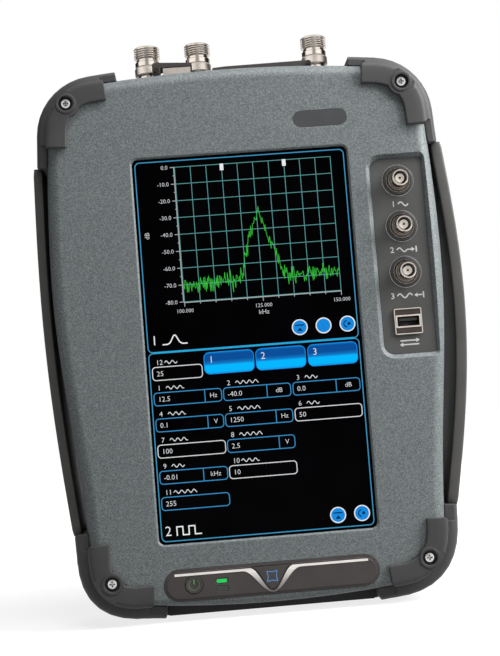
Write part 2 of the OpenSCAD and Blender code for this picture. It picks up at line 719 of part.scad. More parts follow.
// The centre key's sides fall in a smooth wave from its upper corners to its tip.
function wave(u) = (1 - cos(180 * min(1, max(0, u)))) / 2;
home_steps = 10;
home_back = bar_back - key_travel - gap;
function home_points(t) = concat(
    [for (i = [-home_steps : home_steps]) let (u = i / home_steps, x = u * (home_w / 2 + t))
        [x, home_tip - t + (home_top - home_tip) * wave(abs(u)) * 0.98]],
    [[home_w / 2 + t, home_top + t], [-home_w / 2 - t, home_top + t]]);
trim_t = 0.6;
trim_line = bar_z + bar_h / 2 - 3.6;
trim_h = 1.4;
trim_x = bar_w / 2 - 6.2;
trim_reach = home_w / 2 + 5.5;
trim_tip = 0.8;
trim_off = 1.1;
// Lower and upper edge of the trim strip, which dips round the centre key
function trim_low(x) =
    trim_line - (trim_line - home_tip + trim_off + trim_tip) * (1 - wave(abs(x) / trim_reach));
function trim_high(x) = let (r = home_w / 2 + trim_off)
    abs(x) >= r ? trim_line + trim_h : max(trim_low(x) + trim_tip,
        trim_line + trim_h - (trim_line + trim_h - home_tip + trim_off) * (1 - wave(abs(x) / r)));
trim_run = concat([-trim_x], [for (i = [-14 : 14]) i / 14 * trim_reach], [trim_x]);
function trim_points(t) = concat([for (x = trim_run) [x + sign(x) * t, trim_low(x) - t]],
    [for (i = [len(trim_run) - 1 : -1 : 0]) let (x = trim_run[i], inner = abs(x) < home_w / 2 + trim_off)
        [x + (inner ? -sign(x) : sign(x)) * t, trim_high(x) + t]]);
module key_trim() {
    color(nickel) slab(-bar_out - 0.15, -bar_out + trim_t) polygon(trim_points(0));
}
lamp_places = [[-29.3, bar_z + 1], [-29.3, bar_z - 3.4]];
lamp_size = [7, 3];
function lamp_points(p, t) = rounded(p.x - lamp_size.x / 2 - t, p.x + lamp_size.x / 2 + t,
    p.y - lamp_size.y / 2 - t,
    p.y + lamp_size.y / 2 + t, 0.6);
module indicator_lenses() {
    color("#1f5c3a") for (p = lamp_places) slab(-bar_out, bar_back) polygon(lamp_points(p, 0));
}
module power_key() {
    dish_r = 12;
    color("#4a4545") difference() {
        union() {
            rod(-power_x, bar_z, power_r, -bar_out - 0.2, key_flange_d + 0.1);
            rod(-power_x, bar_z, power_r + 1, key_flange_d, key_flange_d + key_flange_t);
        }
        translate([-power_x, front_y - bar_out - dish_r + 0.45, bar_z]) sphere(r = dish_r);
    }
}
module home_key() {
    color("#3f3b3b") {
        slab(-bar_out - 0.1, home_back) polygon(home_points(0));
        slab(home_back - 0.1, key_flange_d + 0.1)
            polygon(rounded(-home_w / 2 + 6.5, home_w / 2 - 6.5, bar_z + 1, bar_z + 5.5, 1));
        slab(key_flange_d, key_flange_d + key_flange_t)
            polygon(rounded(-home_w / 2 - 1.5, home_w / 2 + 1.5, bar_z - 5.5, bar_z + 6.2, 2));
    }
}

// Side panel
module io_panel() {
    color(plate_grey) difference() {
        slab(panel_d, panel_d + panel_t) polygon(panel_points(0));
        for (i = [0 : 2])
            rod(bnc_x, bnc_z - i * bnc_pitch, bnc_hole_r + seat, panel_d - 1, panel_d + panel_t + 1);
        block(usb_x - usb_w / 2 - seat, usb_x + usb_w / 2 + seat, panel_d - 1, panel_d + panel_t + 1,
            usb_z - usb_h / 2 - seat, usb_z + usb_h / 2 + seat);
    }
}
// Turned profile along the depth, given as radius and depth pairs, at one bayonet jack
module turned(x, z, profile) {
    translate([x, front_y, z]) rotate([-90, 0, 0]) rotate_extrude() polygon(profile);
}
module bayonet_jack(i) {
    z = bnc_z - i * bnc_pitch;
    washer_d = panel_d - washer_t;
    bore_r = 4;
    tail_r = bnc_hole_r - 1.6;
    lug_tilt = -16;
    color(nickel) {
        turned(bnc_x, z, [[bore_r, -bnc_out], [bnc_r - 0.3, -bnc_out], [bnc_r, -bnc_out + 0.4],
            [bnc_r, -1], [bnc_r + 1, -0.6], [bnc_r + 1, washer_d - 0.6], [bnc_hole_r + 1, washer_d - 0.4],
            [bnc_hole_r + 1, washer_d], [bnc_hole_r, washer_d], [bnc_hole_r, panel_d + panel_t + 4.5],
            [tail_r, panel_d + panel_t + 4.5], [tail_r, io_board_d], [bnc_insulator_r + seat, io_board_d],
            [bnc_insulator_r + seat, 1], [bore_r, 0]]);
        for (a = [0, 180]) translate([bnc_x, front_y - bnc_out + 3.6, z]) rotate([0, a + lug_tilt, 0])
            rotate([0, 90, 0]) translate([0, 0, bnc_r - 0.4]) cylinder(r = 1, h = 1.2);
    }
}
bnc_insulator_r = 2.6;
bnc_pin_r = 0.75;
module meter_jack() {
    bayonet_jack(0);
}
module audio_in_jack() {
    bayonet_jack(1);
}
module audio_out_jack() {
    bayonet_jack(2);
}
module bayonet_insulators() {
    color(white) for (i = [0 : 2]) turned(bnc_x, bnc_z - i * bnc_pitch, [[bnc_pin_r, -bnc_out + 2.4],
        [bnc_insulator_r, -bnc_out + 2.4], [bnc_insulator_r, io_board_d], [bnc_pin_r, io_board_d]]);
}
module bayonet_contacts() {
    color(gold) for (i = [0 : 2]) turned(bnc_x, bnc_z - i * bnc_pitch, [[0.4, -bnc_out + 2.2],
        [bnc_pin_r, -bnc_out + 2.2], [bnc_pin_r, io_board_d + 2], [0, io_board_d + 2], [0, -bnc_out + 6],
        [0.4, -bnc_out + 6]]);
}
module bayonet_washers() {
    lip = 0.8;
    color(black) for (i = [0 : 2])
        turned(bnc_x, bnc_z - i * bnc_pitch, [[bnc_hole_r + seat, panel_d - washer_t],
        [washer_r - lip, panel_d - washer_t], [washer_r, panel_d - washer_t + lip], [washer_r, panel_d],
        [bnc_hole_r + seat, panel_d]]);
}
module bayonet_nuts() {
    nut_r = 8.4;
    d = panel_d + panel_t;
    color(nickel) for (i = [0 : 2]) difference() {
        rod(bnc_x, bnc_z - i * bnc_pitch, nut_r, d, d + 2.6, $fn = 6);
        rod(bnc_x, bnc_z - i * bnc_pitch, bnc_hole_r + run, d - 1, d + 4);
    }
}
usb_skin = 0.5;
usb_w = usb_mouth[0] + 2 * usb_skin;
usb_h = usb_mouth[1] + 2 * usb_skin;
usb_face = panel_d - 1.4;
usb_frame_size = [16.4, 15.4];
module usb_frame() {
    w = usb_frame_size.x / 2;
    h = usb_frame_size.y / 2;
    rim = 0.7;
    color(steel) difference() {
        slab(usb_face, panel_d) polygon(rounded(usb_x - w, usb_x + w, usb_z - h, usb_z + h, 1));
        slab(usb_face - 1, usb_face + 0.7)
            polygon(rounded(usb_x - w + rim, usb_x + w - rim, usb_z - h + rim, usb_z + h - rim, 0.5));
        block(usb_x - usb_w / 2 - seat, usb_x + usb_w / 2 + seat, usb_face - 1, panel_d + 1,
            usb_z - usb_h / 2 - seat, usb_z + usb_h / 2 + seat);
        block(usb_x - 4.5, usb_x + 4.5, usb_face - 1, usb_face + 1.1, usb_z + usb_h / 2 + 0.9, usb_z + h - 1.4);
    }
}
module usb_shell() {
    color(nickel) difference() {
        block(usb_x - usb_w / 2, usb_x + usb_w / 2, usb_face - 0.2, io_board_d, usb_z - usb_h / 2,
            usb_z + usb_h / 2);
        block(usb_x - usb_mouth[0] / 2, usb_x + usb_mouth[0] / 2, usb_face - 1, io_board_d - usb_skin,
            usb_z - usb_mouth[1] / 2, usb_z + usb_mouth[1] / 2);
    }
}
module usb_tongue() {
    color(black) block(usb_x - 5.5, usb_x + 5.5, usb_face + 1.2, io_board_d - usb_skin, usb_z + 0.2, usb_z + 2);
}
module badge_plate() {
    color(black) slab(0.1, badge_t) badge_shape(0);
}

// Radio-frequency jacks on the top
module rf_jack(x) {
    thread_lo = rf_tip - rf_thread_h;
    ring_hi = thread_lo - rf_groove_h;
    ring_lo = ring_hi - rf_ring_h;
    color(nickel) upright(x, rf_d, 0) rotate_extrude() polygon([[rf_bore_r, rf_tip], [rf_r - 0.8, rf_tip],
        [rf_r, rf_tip - 0.9], [rf_r, thread_lo + 0.5], [rf_r - 0.5, thread_lo], [rf_r - 1.3, thread_lo],
        [rf_r - 1.3, ring_hi], [rf_r - 0.4, ring_hi - 0.4], [rf_r - 0.4, ring_lo], [rf_shank_r + 0.4, ring_lo],
        [rf_shank_r + 0.4, rf_collar_lo], [rf_shank_r, rf_collar_lo], [rf_shank_r, rf_foot],
        [rf_pin_r, rf_foot],
        [rf_pin_r, rf_tip - 12], [rf_bore_r, rf_tip - 12]]);
}
rf_collar_lo = rf_tip - rf_thread_h - rf_groove_h - rf_ring_h - rf_collar_h;
module rf_jack_left() {
    rf_jack(rf_x[0]);
}
module rf_jack_middle() {
    rf_jack(rf_x[1]);
}
module rf_jack_right() {
    rf_jack(rf_x[2]);
}
module rf_jack_collars() {
    teeth = 44;
    knurl = 0.4;
    chamfer = 0.8;
    color(nickel) for (x = rf_x) upright(x, rf_d, rf_collar_lo) difference() {
        union() {
            translate([0, 0, chamfer]) linear_extrude(rf_collar_h - 2 * chamfer)
                polygon([for (i = [0 : 2 * teeth - 1])
                    let (r = rf_collar_r - knurl * (i % 2), a = 180 * i / teeth) [r * cos(a), r * sin(a)]]);
            cylinder(r = rf_collar_r - 0.7, h = rf_collar_h);
        }
        translate([0, 0, -1]) cylinder(r = rf_shank_r + 0.4 + run, h = rf_collar_h + 2);
    }
}
module rf_jack_insulators() {
    color(white) for (x = rf_x) upright(x, rf_d, rf_tip - 12) rotate_extrude()
        polygon([[rf_pin_r, 0], [rf_bore_r - run, 0], [rf_bore_r - run, 3], [4, 3], [4, 7], [2.6, 7],
            [2.6, 3.5],
            [rf_pin_r, 3.5]]);
}
module rf_jack_contacts() {
    color(gold) for (x = rf_x) upright(x, rf_d, 0) rotate_extrude()
        polygon([[0, rf_foot], [rf_pin_r - run, rf_foot], [rf_pin_r - run, rf_tip - 2.6], [0.85, rf_tip - 2.6],
            [0.85, rf_tip - 8], [0, rf_tip - 8]]);
}

// Data jack, port covers and the sockets below the long cover
module data_jack() {
    w = data_w / 2;
    color(steel) difference() {
        block(data_x - w, data_x + w, cover_d[0] + 0.4, cover_d[1] - 0.4, socket_foot, data_top);
        block(data_x - w + data_wall, data_x + w - data_wall, cover_d[0] + 0.4 + data_wall,
            cover_d[1] - 0.4 - data_wall, socket_foot + data_wall, data_top + 1);
    }
}
data_mouth = [12, 8.4];
data_mouth_d = 13;
module data_jack_insert() {
    w = data_w / 2 - data_wall - run;
    mid = (cover_d[0] + cover_d[1]) / 2;
    deep = (cover_d[1] - cover_d[0]) / 2 - 0.4 - data_wall - run;
    color(black) difference() {
        block(data_x - w, data_x + w, mid - deep, mid + deep, socket_foot + data_wall, data_top - 0.4);
        block(data_x - data_mouth.x / 2, data_x + data_mouth.x / 2,
            mid - data_mouth.y / 2, mid + data_mouth.y / 2,
            data_top - data_mouth_d, data_top + 1);
    }
}
module data_jack_cover() {
    x1 = data_x + data_w / 2 + 1;
    z0 = data_top + gap;
    z1 = z0 + cover_t;
    p = cover_pivot;
    color(black) difference() {
        union() {
            rod(p.x, p.y, cover_knuckle_r, cover_d[0], cover_d[1]);
            slab(cover_d[0], cover_d[1]) polygon([[p.x - cover_knuckle_r, p.y], [p.x + cover_knuckle_r, p.y],
                [p.x + cover_knuckle_r, z0], [x1, z0], [x1, z1 - 1.2], [x1 - 0.8, z1 - 0.6],
                [p.x - 0.5, z1 + 0.7], [p.x - cover_knuckle_r + 0.6, z1 + 0.3],
                [p.x - cover_knuckle_r, z1 - 0.6]]);
        }
        rod(p.x, p.y, cover_pin_r + run, cover_d[0] - 1, cover_d[1] + 1);
    }
}
port_steps = 12;
port_top = top_z + port_h;
module port_cover() {
    p = port_pivot;
    x0 = port_x[0];
    color(black) difference() {
        union() {
            rod(p.x, p.y, port_knuckle_r, cover_d[0], cover_d[1]);
            slab(cover_d[0], cover_d[1]) polygon(concat(
                [for (i = [0 : port_steps]) let (x = x0 + (p.x - x0) * i / port_steps) [x, top_line(x) + gap]],
                [[p.x, p.y + port_knuckle_r], [p.x - 6, port_top], [x0 + 8, port_top - 0.5],
                    [x0 + 0.6, port_top - 1]]));
        }
        rod(p.x, p.y, port_pin_r + run, cover_d[0] - 1, cover_d[1] + 1);
    }
}
module headed_pin(p, r) {
    rod(p.x, p.y, r, cover_d[0] - gap, post_d[1] - 0.4);
    rod(p.x, p.y, r + 0.4, cover_d[0] - gap - pin_head, cover_d[0] - gap + 0.01);
}
module cover_pins() {
    color(steel) {
        headed_pin(cover_pivot, cover_pin_r);
        headed_pin(port_pivot, port_pin_r);
    }
}
module cover_post(p, r) {
    difference() {
        slab(post_d[0], post_d[1]) polygon([[p.x - post_w / 2, top_line(p.x - post_w / 2)],
            [p.x + post_w / 2, top_line(p.x + post_w / 2)], [p.x + post_w / 2, p.y + 0.5],
            [p.x + post_w / 2 - 1.6, p.y + r + 1.1], [p.x - post_w / 2 + 1.6, p.y + r + 1.1],
            [p.x - post_w / 2, p.y + 0.5]]);
        rod(p.x, p.y, r, post_d[0] - 1, post_d[1] + 1);
    }
}
module cover_posts() {
    color(black) {
        cover_post(cover_pivot, cover_pin_r);
        cover_post(port_pivot, port_pin_r);
    }
}
socket_d = (cover_d[0] + cover_d[1]) / 2;
socket_low = 0.6;
power_socket_x = 2;
power_socket_r = 5;
service_x = 26;
service_w = 16;
service_l = 8;
module power_socket() {
    z1 = top_line(power_socket_x) - socket_low;
    color(black) upright(power_socket_x, socket_d, 0) {
        difference() {
            translate([0, 0, socket_foot]) cylinder(r = power_socket_r, h = z1 - socket_foot);
            translate([0, 0, z1 - 9]) cylinder(r = 3.2, h = 10);
        }
        translate([0, 0, z1 - 9.1]) cylinder(r = 1.05, h = 8);
    }
}
module service_socket() {
    z1 = top_line(service_x + service_w / 2) - socket_low;
    color(plate_grey) difference() {
        block(service_x - service_w / 2, service_x + service_w / 2,
            socket_d - service_l / 2, socket_d + service_l / 2,
            socket_foot, z1);
        block(service_x - service_w / 2 + 1.2, service_x + service_w / 2 - 1.2, socket_d - service_l / 2 + 1.2,
            socket_d + service_l / 2 - 1.2, z1 - 8, z1 + 1);
    }
}

// Bumpers
// Point on the rounded edge of radius r, from the face (0) to the side (5), held off by c
function edge_point(r, i, c) = [-r + (r + c) * sin(18 * i), r - (r + c) * cos(18 * i)];
// Front part of a bumper's section as outward distance and depth, over an edge of radius r, with its lip or not
function lip_section(r, lips) = let (c = gap, e = 0.9, foot = edge_point(r, 4, c), n = 15) concat(
    [edge_point(r, 5, c), foot],
    lips ? concat([for (i = [3 : -1 : 0]) edge_point(r, i, c)], [[-lip_w, -c], [-lip_w, e - lip_t],
        [0.29 * e - lip_w, 0.29 * e - lip_t], [e - lip_w, -lip_t], [-lip_w / 2, -lip_t - lip_crown],
        [lip_edge - 3.5, -lip_t], [lip_edge - 2.1, 0.35 - lip_t], [lip_edge - 1.1, 1.1 - lip_t],
        [lip_edge - 0.5, 2.2 - lip_t], [lip_edge - 0.3, 1.2]])
        : [for (k = [1 : n - 1])
            foot + ([lip_edge, skirt_front] - foot) * k / n - [0, 0.35 * sin(180 * k / n)]]);
// Skirt of a bumper from the groove beside its lip to its flat outer face
function skirt_section(t) = [[lip_edge, 0], [t - 5.1, 0.15], [t - 3.7, 0.6], [t - 2.3, 1.6], [t - 1.1, 3.3],
    [t - 0.4, 5.6], [t - 0.1, 8.4], [t, 12.4]];
function bumper_section(t, fr, lips) = let (back = concat(lip_section(back_r, lips),
        [for (q = skirt_section(t)) q + [0, case_d - skirt_back]])) concat(
    lip_section(fr, lips),
    [for (q = skirt_section(t)) q + [0, skirt_front]],
    [for (i = [len(back) - 1 : -1 : 0]) [back[i].x, case_d - back[i].y]]);
// Sweeps a bumper along places of the outline and their lip state, run clockwise as seen from the front
module bumper_sweep(stations, t) {
    skin([for (w = stations) let (p = w[0][0], out = w[0][1], s = bumper_section(t, front_r(p.y), w[1]))
        [for (q = s) [p.x + out.x * q[0], front_y + q[1], p.y + out.y * q[0]]]]);
}
lip_edge = 0.9;
lip_crown = 0.15;
skirt_corner = 2.4;
lip_more = 1;
skirt_front = 3.6;
skirt_back = case_d - 4;
skirt_top_z = top_z - skirt_top_down;
skirt_low_z = foot_z + skirt_low_up;
top_stations = concat(
    [[on_top(skirt_top_x), false], [on_top(skirt_top_x + lip_short - lip_more), true]],
    [for (u = [corner_steps : -1 : 0]) [top_corner(u / corner_steps), true]],
    [[on_side(skirt_top_z + lip_top_short - lip_more), true], [on_side(skirt_top_z), false]]);
low_stations = concat(
    [[on_side(skirt_low_z), false], [on_side(skirt_low_z - lip_low_short + lip_more), true]],
    [for (u = [0 : corner_steps]) [low_corner(u / corner_steps), true]],
    [[on_foot(skirt_low_x + lip_short - lip_more), true], [on_foot(skirt_low_x), false]]);
// Cuts the lips away beyond their end at the place w, where s tells on which side of w the bumper goes on
module lip_end(w, s) {
    r = 2.5;
    edge = lip_edge - 0.4;
    far = 20;
    pts = concat([[far, -far], [0, -far]],
        [for (i = [0 : 4]) [-r + r * cos(22.5 * i), edge - r + r * sin(22.5 * i)]], [[-r, far], [far, far]]);
    placed = [for (q = pts)
        [w[0].x + w[1].x * q.y - s * w[1].y * q.x, w[0].y + w[1].y * q.y + s * w[1].x * q.x]];
    slab(-far, skirt_front + 1) polygon(placed);
    slab(skirt_back - 1.5, case_d + far) polygon(placed);
}
module lip_ends() {
    lip_end(on_top(skirt_top_x + lip_short), 1);
    lip_end(on_side(skirt_top_z + lip_top_short), -1);
    lip_end(on_side(skirt_low_z - lip_low_short), 1);
    lip_end(on_foot(skirt_low_x + lip_short), -1);
}
// Rounds the outer corner of a skirt's end at the place w
module skirt_end(w, s, t) {
    r = skirt_corner;
    pts = concat([for (i = [0 : 4]) [r * cos(22.5 * i) - r, t - r + r * sin(22.5 * i)]],
        [[-r, t + 3], [3, t + 3], [3, t - r]]);
    slab(-10, case_d + 10) polygon([for (q = pts)
        [w[0].x + w[1].x * q.y - s * w[1].y * q.x, w[0].y + w[1].y * q.y + s * w[1].x * q.x]]);
}
module skirt_ends() {
    skirt_end(on_top(skirt_top_x), 1, skirt_top_t);
    skirt_end(on_side(skirt_top_z), -1, skirt_top_t);
    skirt_end(on_side(skirt_low_z), 1, skirt_low_t);
    skirt_end(on_foot(skirt_low_x), -1, skirt_low_t);
}
module bumper(stations, t, place) {
    pilot = screw_r + gap;
    well = screw_head_r + 1.4;
    ring_out = 0.45;
    color(rubber) difference() {
        union() {
            bumper_sweep(stations, t);
            intersection() {
                slab(-lip_t - 2, case_d + lip_t + 2) polygon(grown(0.3));
                union() {
                    rod(place.x, place.y, boss_r, -lip_t, -gap);
                    rod(place.x, place.y, boss_ring_r, -lip_t - ring_out, -gap);
                    rod(place.x, place.y, boss_r, case_d + gap, case_d + lip_t);
                }
            }
        }
        rod(place.x, place.y, pilot, -lip_t - 1, edge_r);
        rod(place.x, place.y, well, -lip_t - 1, -screw_seat);
        rod(place.x, place.y, pilot, case_d - back_r, case_d + lip_t + 1);
        rod(place.x, place.y, well, case_d + screw_seat, case_d + lip_t + 1);
        lip_ends();
        skirt_ends();
        both_links(link_t + 2 * seat, link_w + 2 * seat, seat);
        translate([0, -reach / 2, -reach]) cube([reach, reach, reach]);
    }
}
module bumper_top_right() {
    bumper(top_stations, skirt_top_t, screw_top);
}
module bumper_top_left() {
    mirror([1, 0, 0]) bumper(top_stations, skirt_top_t, screw_top);
}
module bumper_bottom_right() {
    bumper(low_stations, skirt_low_t, screw_low);
}
module bumper_bottom_left() {
    mirror([1, 0, 0]) bumper(low_stations, skirt_low_t, screw_low);
}
module bumper_screws() {
    color(steel) for (p = screw_places) both_sides() translate([p.x, 0, p.y]) {
        pan_screw(-screw_seat, 12, 1.6);
        pan_screw(case_d + screw_seat, case_d - 11, 1.6);
    }
}

// Straps and their links
strap_ends = [[half_w(strap_z1) + strap_top_off, strap_z1], [half_w(strap_z0) + strap_low_off, strap_z0]];
strap_steps = 20;
// Outer face of a strap: a straight chord between its ends with a sine bow
function strap_x(u, bow) = strap_ends[0].x + (strap_ends[1].x - strap_ends[0].x) * u + bow * sin(180 * u);
function strap_loop(x, z) = let (d0 = strap_mid_d - strap_w / 2, d1 = strap_mid_d + strap_w / 2)
    [for (p = rounded(x - strap_t, x, d0, d1, 2, 3)) [p.x, front_y + p.y, z]];
module strap(bow) {
    color(rubber) difference() {
        skin([for (i = [0 : strap_steps]) let (u = i / strap_steps)
            strap_loop(strap_x(u, bow), strap_z1 + (strap_z0 - strap_z1) * u)]);
        both_links(link_t + 2 * seat, link_w + 2 * seat, seat);
    }
}
module strap_right() {
    strap(strap_bow[1]);
}
module strap_left() {
    mirror([1, 0, 0]) strap(strap_bow[0]);
}
// Flat steel link from a strap's end into the neighbouring bumper, with s = 1 at the top and -1 at the bottom
module link(end, off, s, t, w, extra) {
    x = half_w(end.y) + off;
    bite = link_in + extra;
    low = min(end.y - s * bite, end.y + s * (strap_gap + bite));
    block(x - t / 2, x + t / 2, strap_mid_d - w / 2, strap_mid_d + w / 2, low, low + strap_gap + 2 * bite);
}
module both_links(t, w, extra) {
    link(strap_ends[0], link_off[0], 1, t, w, extra);
    link(strap_ends[1], link_off[1], -1, t, w, extra);
}
module strap_links() {
    color(steel) both_sides() both_links(link_t, link_w, 0);
}
module bottom_rail() {
    x = skirt_low_x - gap;
    n = 12;
    d1 = case_d - back_r;
    color(black) slab(rail_d, d1) polygon(concat([[-x, 0], [x, 0]],
        [for (i = [0 : n]) let (px = x - 2 * x * i / n) [px, low_line(px) - gap]]));
}

// Tilt stand
module tilt_stand() {
    x = stand[0] / 2;
    foot = stand_pin_z - stand[1];
    leg = 16;
    d0 = stand_pin_d - stand_t / 2;
    color(plate_grey) difference() {
        union() {
            slab(d0, d0 + stand_t) difference() {
                polygon([[-x, stand_pin_z], [-x, foot + 10], [-x + 8, foot], [x - 8, foot], [x, foot + 10],
                    [x, stand_pin_z]]);
                polygon(rounded(-x + leg, x - leg, foot + leg + 4, stand_pin_z - leg, 8));
            }
            translate([-x, front_y + stand_pin_d, stand_pin_z]) rotate([0, 90, 0])
                cylinder(r = stand_barrel_r, h = 2 * x);
        }
        both_sides() translate([x - stand_pin_l - 0.5, front_y + stand_pin_d, stand_pin_z]) rotate([0, 90, 0])
            cylinder(r = stand_pin_r + run, h = stand_pin_l + 2);
    }
}
module stand_pins() {
    color(steel) both_sides() translate([stand[0] / 2 - stand_pin_l, front_y + stand_pin_d, stand_pin_z])
        rotate([0, 90, 0]) cylinder(r = stand_pin_r, h = 2 * stand_pin_l);
}

front_housing();
rear_housing();
housing_gasket();
screen_gasket();
touch_glass();
lcd_module();
chassis_plate();
main_board();
shield_can();
rf_module();
jack_board();
io_board();
key_board();
battery_pack();
battery_contacts();
battery_door();
back_screws();
key_bar();
key_trim();
power_key();
home_key();
indicator_lenses();
io_panel();
meter_jack();
audio_in_jack();
audio_out_jack();
bayonet_insulators();
bayonet_contacts();
bayonet_washers();
bayonet_nuts();
usb_frame();
usb_shell();
usb_tongue();
badge_plate();
rf_jack_left();
rf_jack_middle();
rf_jack_right();
rf_jack_collars();
rf_jack_insulators();
rf_jack_contacts();
data_jack();
data_jack_insert();
data_jack_cover();
port_cover();
cover_pins();
cover_posts();
power_socket();
service_socket();
bumper_top_left();
bumper_top_right();
bumper_bottom_left();
bumper_bottom_right();
bumper_screws();
strap_left();
strap_right();
strap_links();
bottom_rail();
tilt_stand();
stand_pins();
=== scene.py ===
"""Looks of a radio communication tester: finishes, screen picture, jacks, bumpers, straps and stage."""

import json
import math
import random

import bmesh
import bpy
from bpy.props import FloatProperty, FloatVectorProperty, IntProperty, PointerProperty
from bpy.types import Operator, Panel, PropertyGroup
from mathutils import Matrix, Vector

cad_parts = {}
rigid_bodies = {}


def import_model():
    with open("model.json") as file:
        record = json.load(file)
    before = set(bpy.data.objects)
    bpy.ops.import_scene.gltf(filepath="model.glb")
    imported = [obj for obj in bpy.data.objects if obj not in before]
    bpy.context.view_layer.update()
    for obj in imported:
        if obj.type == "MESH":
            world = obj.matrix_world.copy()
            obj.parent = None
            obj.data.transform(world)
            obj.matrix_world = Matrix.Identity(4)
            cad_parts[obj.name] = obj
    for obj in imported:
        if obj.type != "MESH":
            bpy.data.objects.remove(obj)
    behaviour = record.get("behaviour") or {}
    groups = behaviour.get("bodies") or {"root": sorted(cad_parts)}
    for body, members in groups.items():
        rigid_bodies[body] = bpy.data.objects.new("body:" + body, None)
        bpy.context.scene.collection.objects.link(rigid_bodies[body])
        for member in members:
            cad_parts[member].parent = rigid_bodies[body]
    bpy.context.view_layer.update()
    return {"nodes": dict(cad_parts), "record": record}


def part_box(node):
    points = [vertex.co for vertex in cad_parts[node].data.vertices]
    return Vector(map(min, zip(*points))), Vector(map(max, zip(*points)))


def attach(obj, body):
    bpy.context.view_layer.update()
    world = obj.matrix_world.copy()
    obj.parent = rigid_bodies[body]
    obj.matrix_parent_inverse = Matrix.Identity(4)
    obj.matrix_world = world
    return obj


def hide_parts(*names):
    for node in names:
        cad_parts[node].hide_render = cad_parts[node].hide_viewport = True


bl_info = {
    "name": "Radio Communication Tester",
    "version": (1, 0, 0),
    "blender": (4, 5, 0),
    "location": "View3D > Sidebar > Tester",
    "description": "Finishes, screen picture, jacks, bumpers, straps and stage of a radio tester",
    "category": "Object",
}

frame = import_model()

MM = 0.001
BAYONETS = ("meter_jack", "audio_in_jack", "audio_out_jack")


def low(node):
    """Lowest corner of a frame node, in millimetres."""
    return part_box(node)[0] / MM


def high(node):
    """Highest corner of a frame node, in millimetres."""
    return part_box(node)[1] / MM


def middle(node):
    """Middle of a frame node's box, in millimetres."""
    return (low(node) + high(node)) / 2


def linear(red, green, blue):
    """Shader colour of display values from 0 to 255."""
    def channel(value):
        value /= 255
        return value / 12.92 if value <= 0.04045 else ((value + 0.055) / 1.055) ** 2.4
    return channel(red), channel(green), channel(blue)


# Kinds of property

def colour(name, red, green, blue):
    """Colour property with its default in display values."""
    return FloatVectorProperty(name=name, description=f"Colour of the {name.lower()}", subtype="COLOR",
                               size=3, min=0, max=1, default=linear(red, green, blue))


def length(name, description, default):
    """Length property in millimetres."""
    return FloatProperty(name=name, description=description + ", in millimetres", default=default, min=0)


def places(name, description, default):
    """Property of several places in millimetres."""
    return FloatVectorProperty(name=name, description=description + ", in millimetres", size=len(default),
                               default=default)


def direction(name, description, default):
    """Direction property."""
    return FloatVectorProperty(name=name, description=description, subtype="DIRECTION", default=default)


def power(name, description, default):
    """Lamp power property in watts."""
    return FloatProperty(name=name, description=description, subtype="POWER", default=default, min=0)


# Properties that a user would change

class TesterFinish(PropertyGroup):
    """Colours of the tester's surfaces."""

    paint: colour("Paint", 102, 108, 109)
    paint_dark: colour("Dark paint grains", 74, 81, 83)
    paint_light: colour("Light paint grains", 128, 134, 134)
    paint_speck: colour("Pale paint specks", 160, 165, 165)
    fleck_size: length("Grain size", "Size of the grains in the paint", 0.42)
    speck_size: length("Speck size", "Size of the pale specks in the paint", 0.75)
    rubber: colour("Bumper rubber", 62, 62, 62)
    strap: colour("Strap rubber", 74, 73, 71)
    cover: colour("Jack covers", 50, 47, 46)
    rail: colour("Bottom rail", 24, 24, 25)
    key_bar: colour("Key bar", 69, 64, 63)
    trim: colour("Key trim", 236, 231, 226)
    panel: colour("Side panel", 74, 74, 73)
    badge: colour("Badge", 60, 61, 62)
    black: colour("Black plastic", 30, 30, 31)
    nickel: colour("Bright nickel", 228, 218, 208)
    # Darker copy of the nickel, painted for the bayonet jacks' dark reflections; the cover pins take it too.
    aged_nickel: colour("Aged nickel", 78, 69, 62)
    port_plate: colour("Port frame", 84, 77, 73)
    steel: colour("Steel", 206, 204, 202)
    gold: colour("Contact gold", 150, 114, 62)
    insulator: colour("Insulator", 252, 246, 236)
    glass: colour("Screen glass", 4, 4, 6)
    board: colour("Circuit boards", 36, 92, 60)
    print_white: colour("Printed marks", 205, 205, 202)
    power_mark: colour("Power symbol", 98, 142, 88)
    home_mark: colour("Home symbol", 92, 142, 196)
    lamp_window: colour("Lamp window", 44, 56, 48)
    lamp_on: colour("Lit lamp", 40, 214, 96)
    lamp_off: colour("Unlit lamp", 66, 74, 66)


class TesterScreen(PropertyGroup):
    """Layout and colours of the picture on the screen."""

    margin: length("Margin", "Distance of the blue frame from the window's edge", 1.5)
    lap: length("Glass lap", "Width of the glass that the housing hides", 4)
    columns: IntProperty(name="Columns", description="Columns of the chart's grid", default=10, min=2)
    rows: IntProperty(name="Rows", description="Rows of the chart's grid", default=8, min=2)
    seed: IntProperty(name="Seed", description="Seed of the noise in the trace", default=7)
    frame_line: colour("Screen frame", 62, 148, 190)
    divider: colour("Divider", 40, 170, 220)
    grid: colour("Chart grid", 92, 160, 158)
    axis: colour("Chart axes", 170, 176, 176)
    trace: colour("Trace", 56, 190, 60)
    white: colour("Screen white", 236, 238, 240)
    field: colour("Field outlines", 58, 146, 200)
    button: colour("Round buttons", 20, 138, 224)
    button_dark: colour("Button tops", 6, 78, 152)
    button_light: colour("Button bands", 0, 182, 255)
    icon: colour("Button icons", 8, 40, 84)


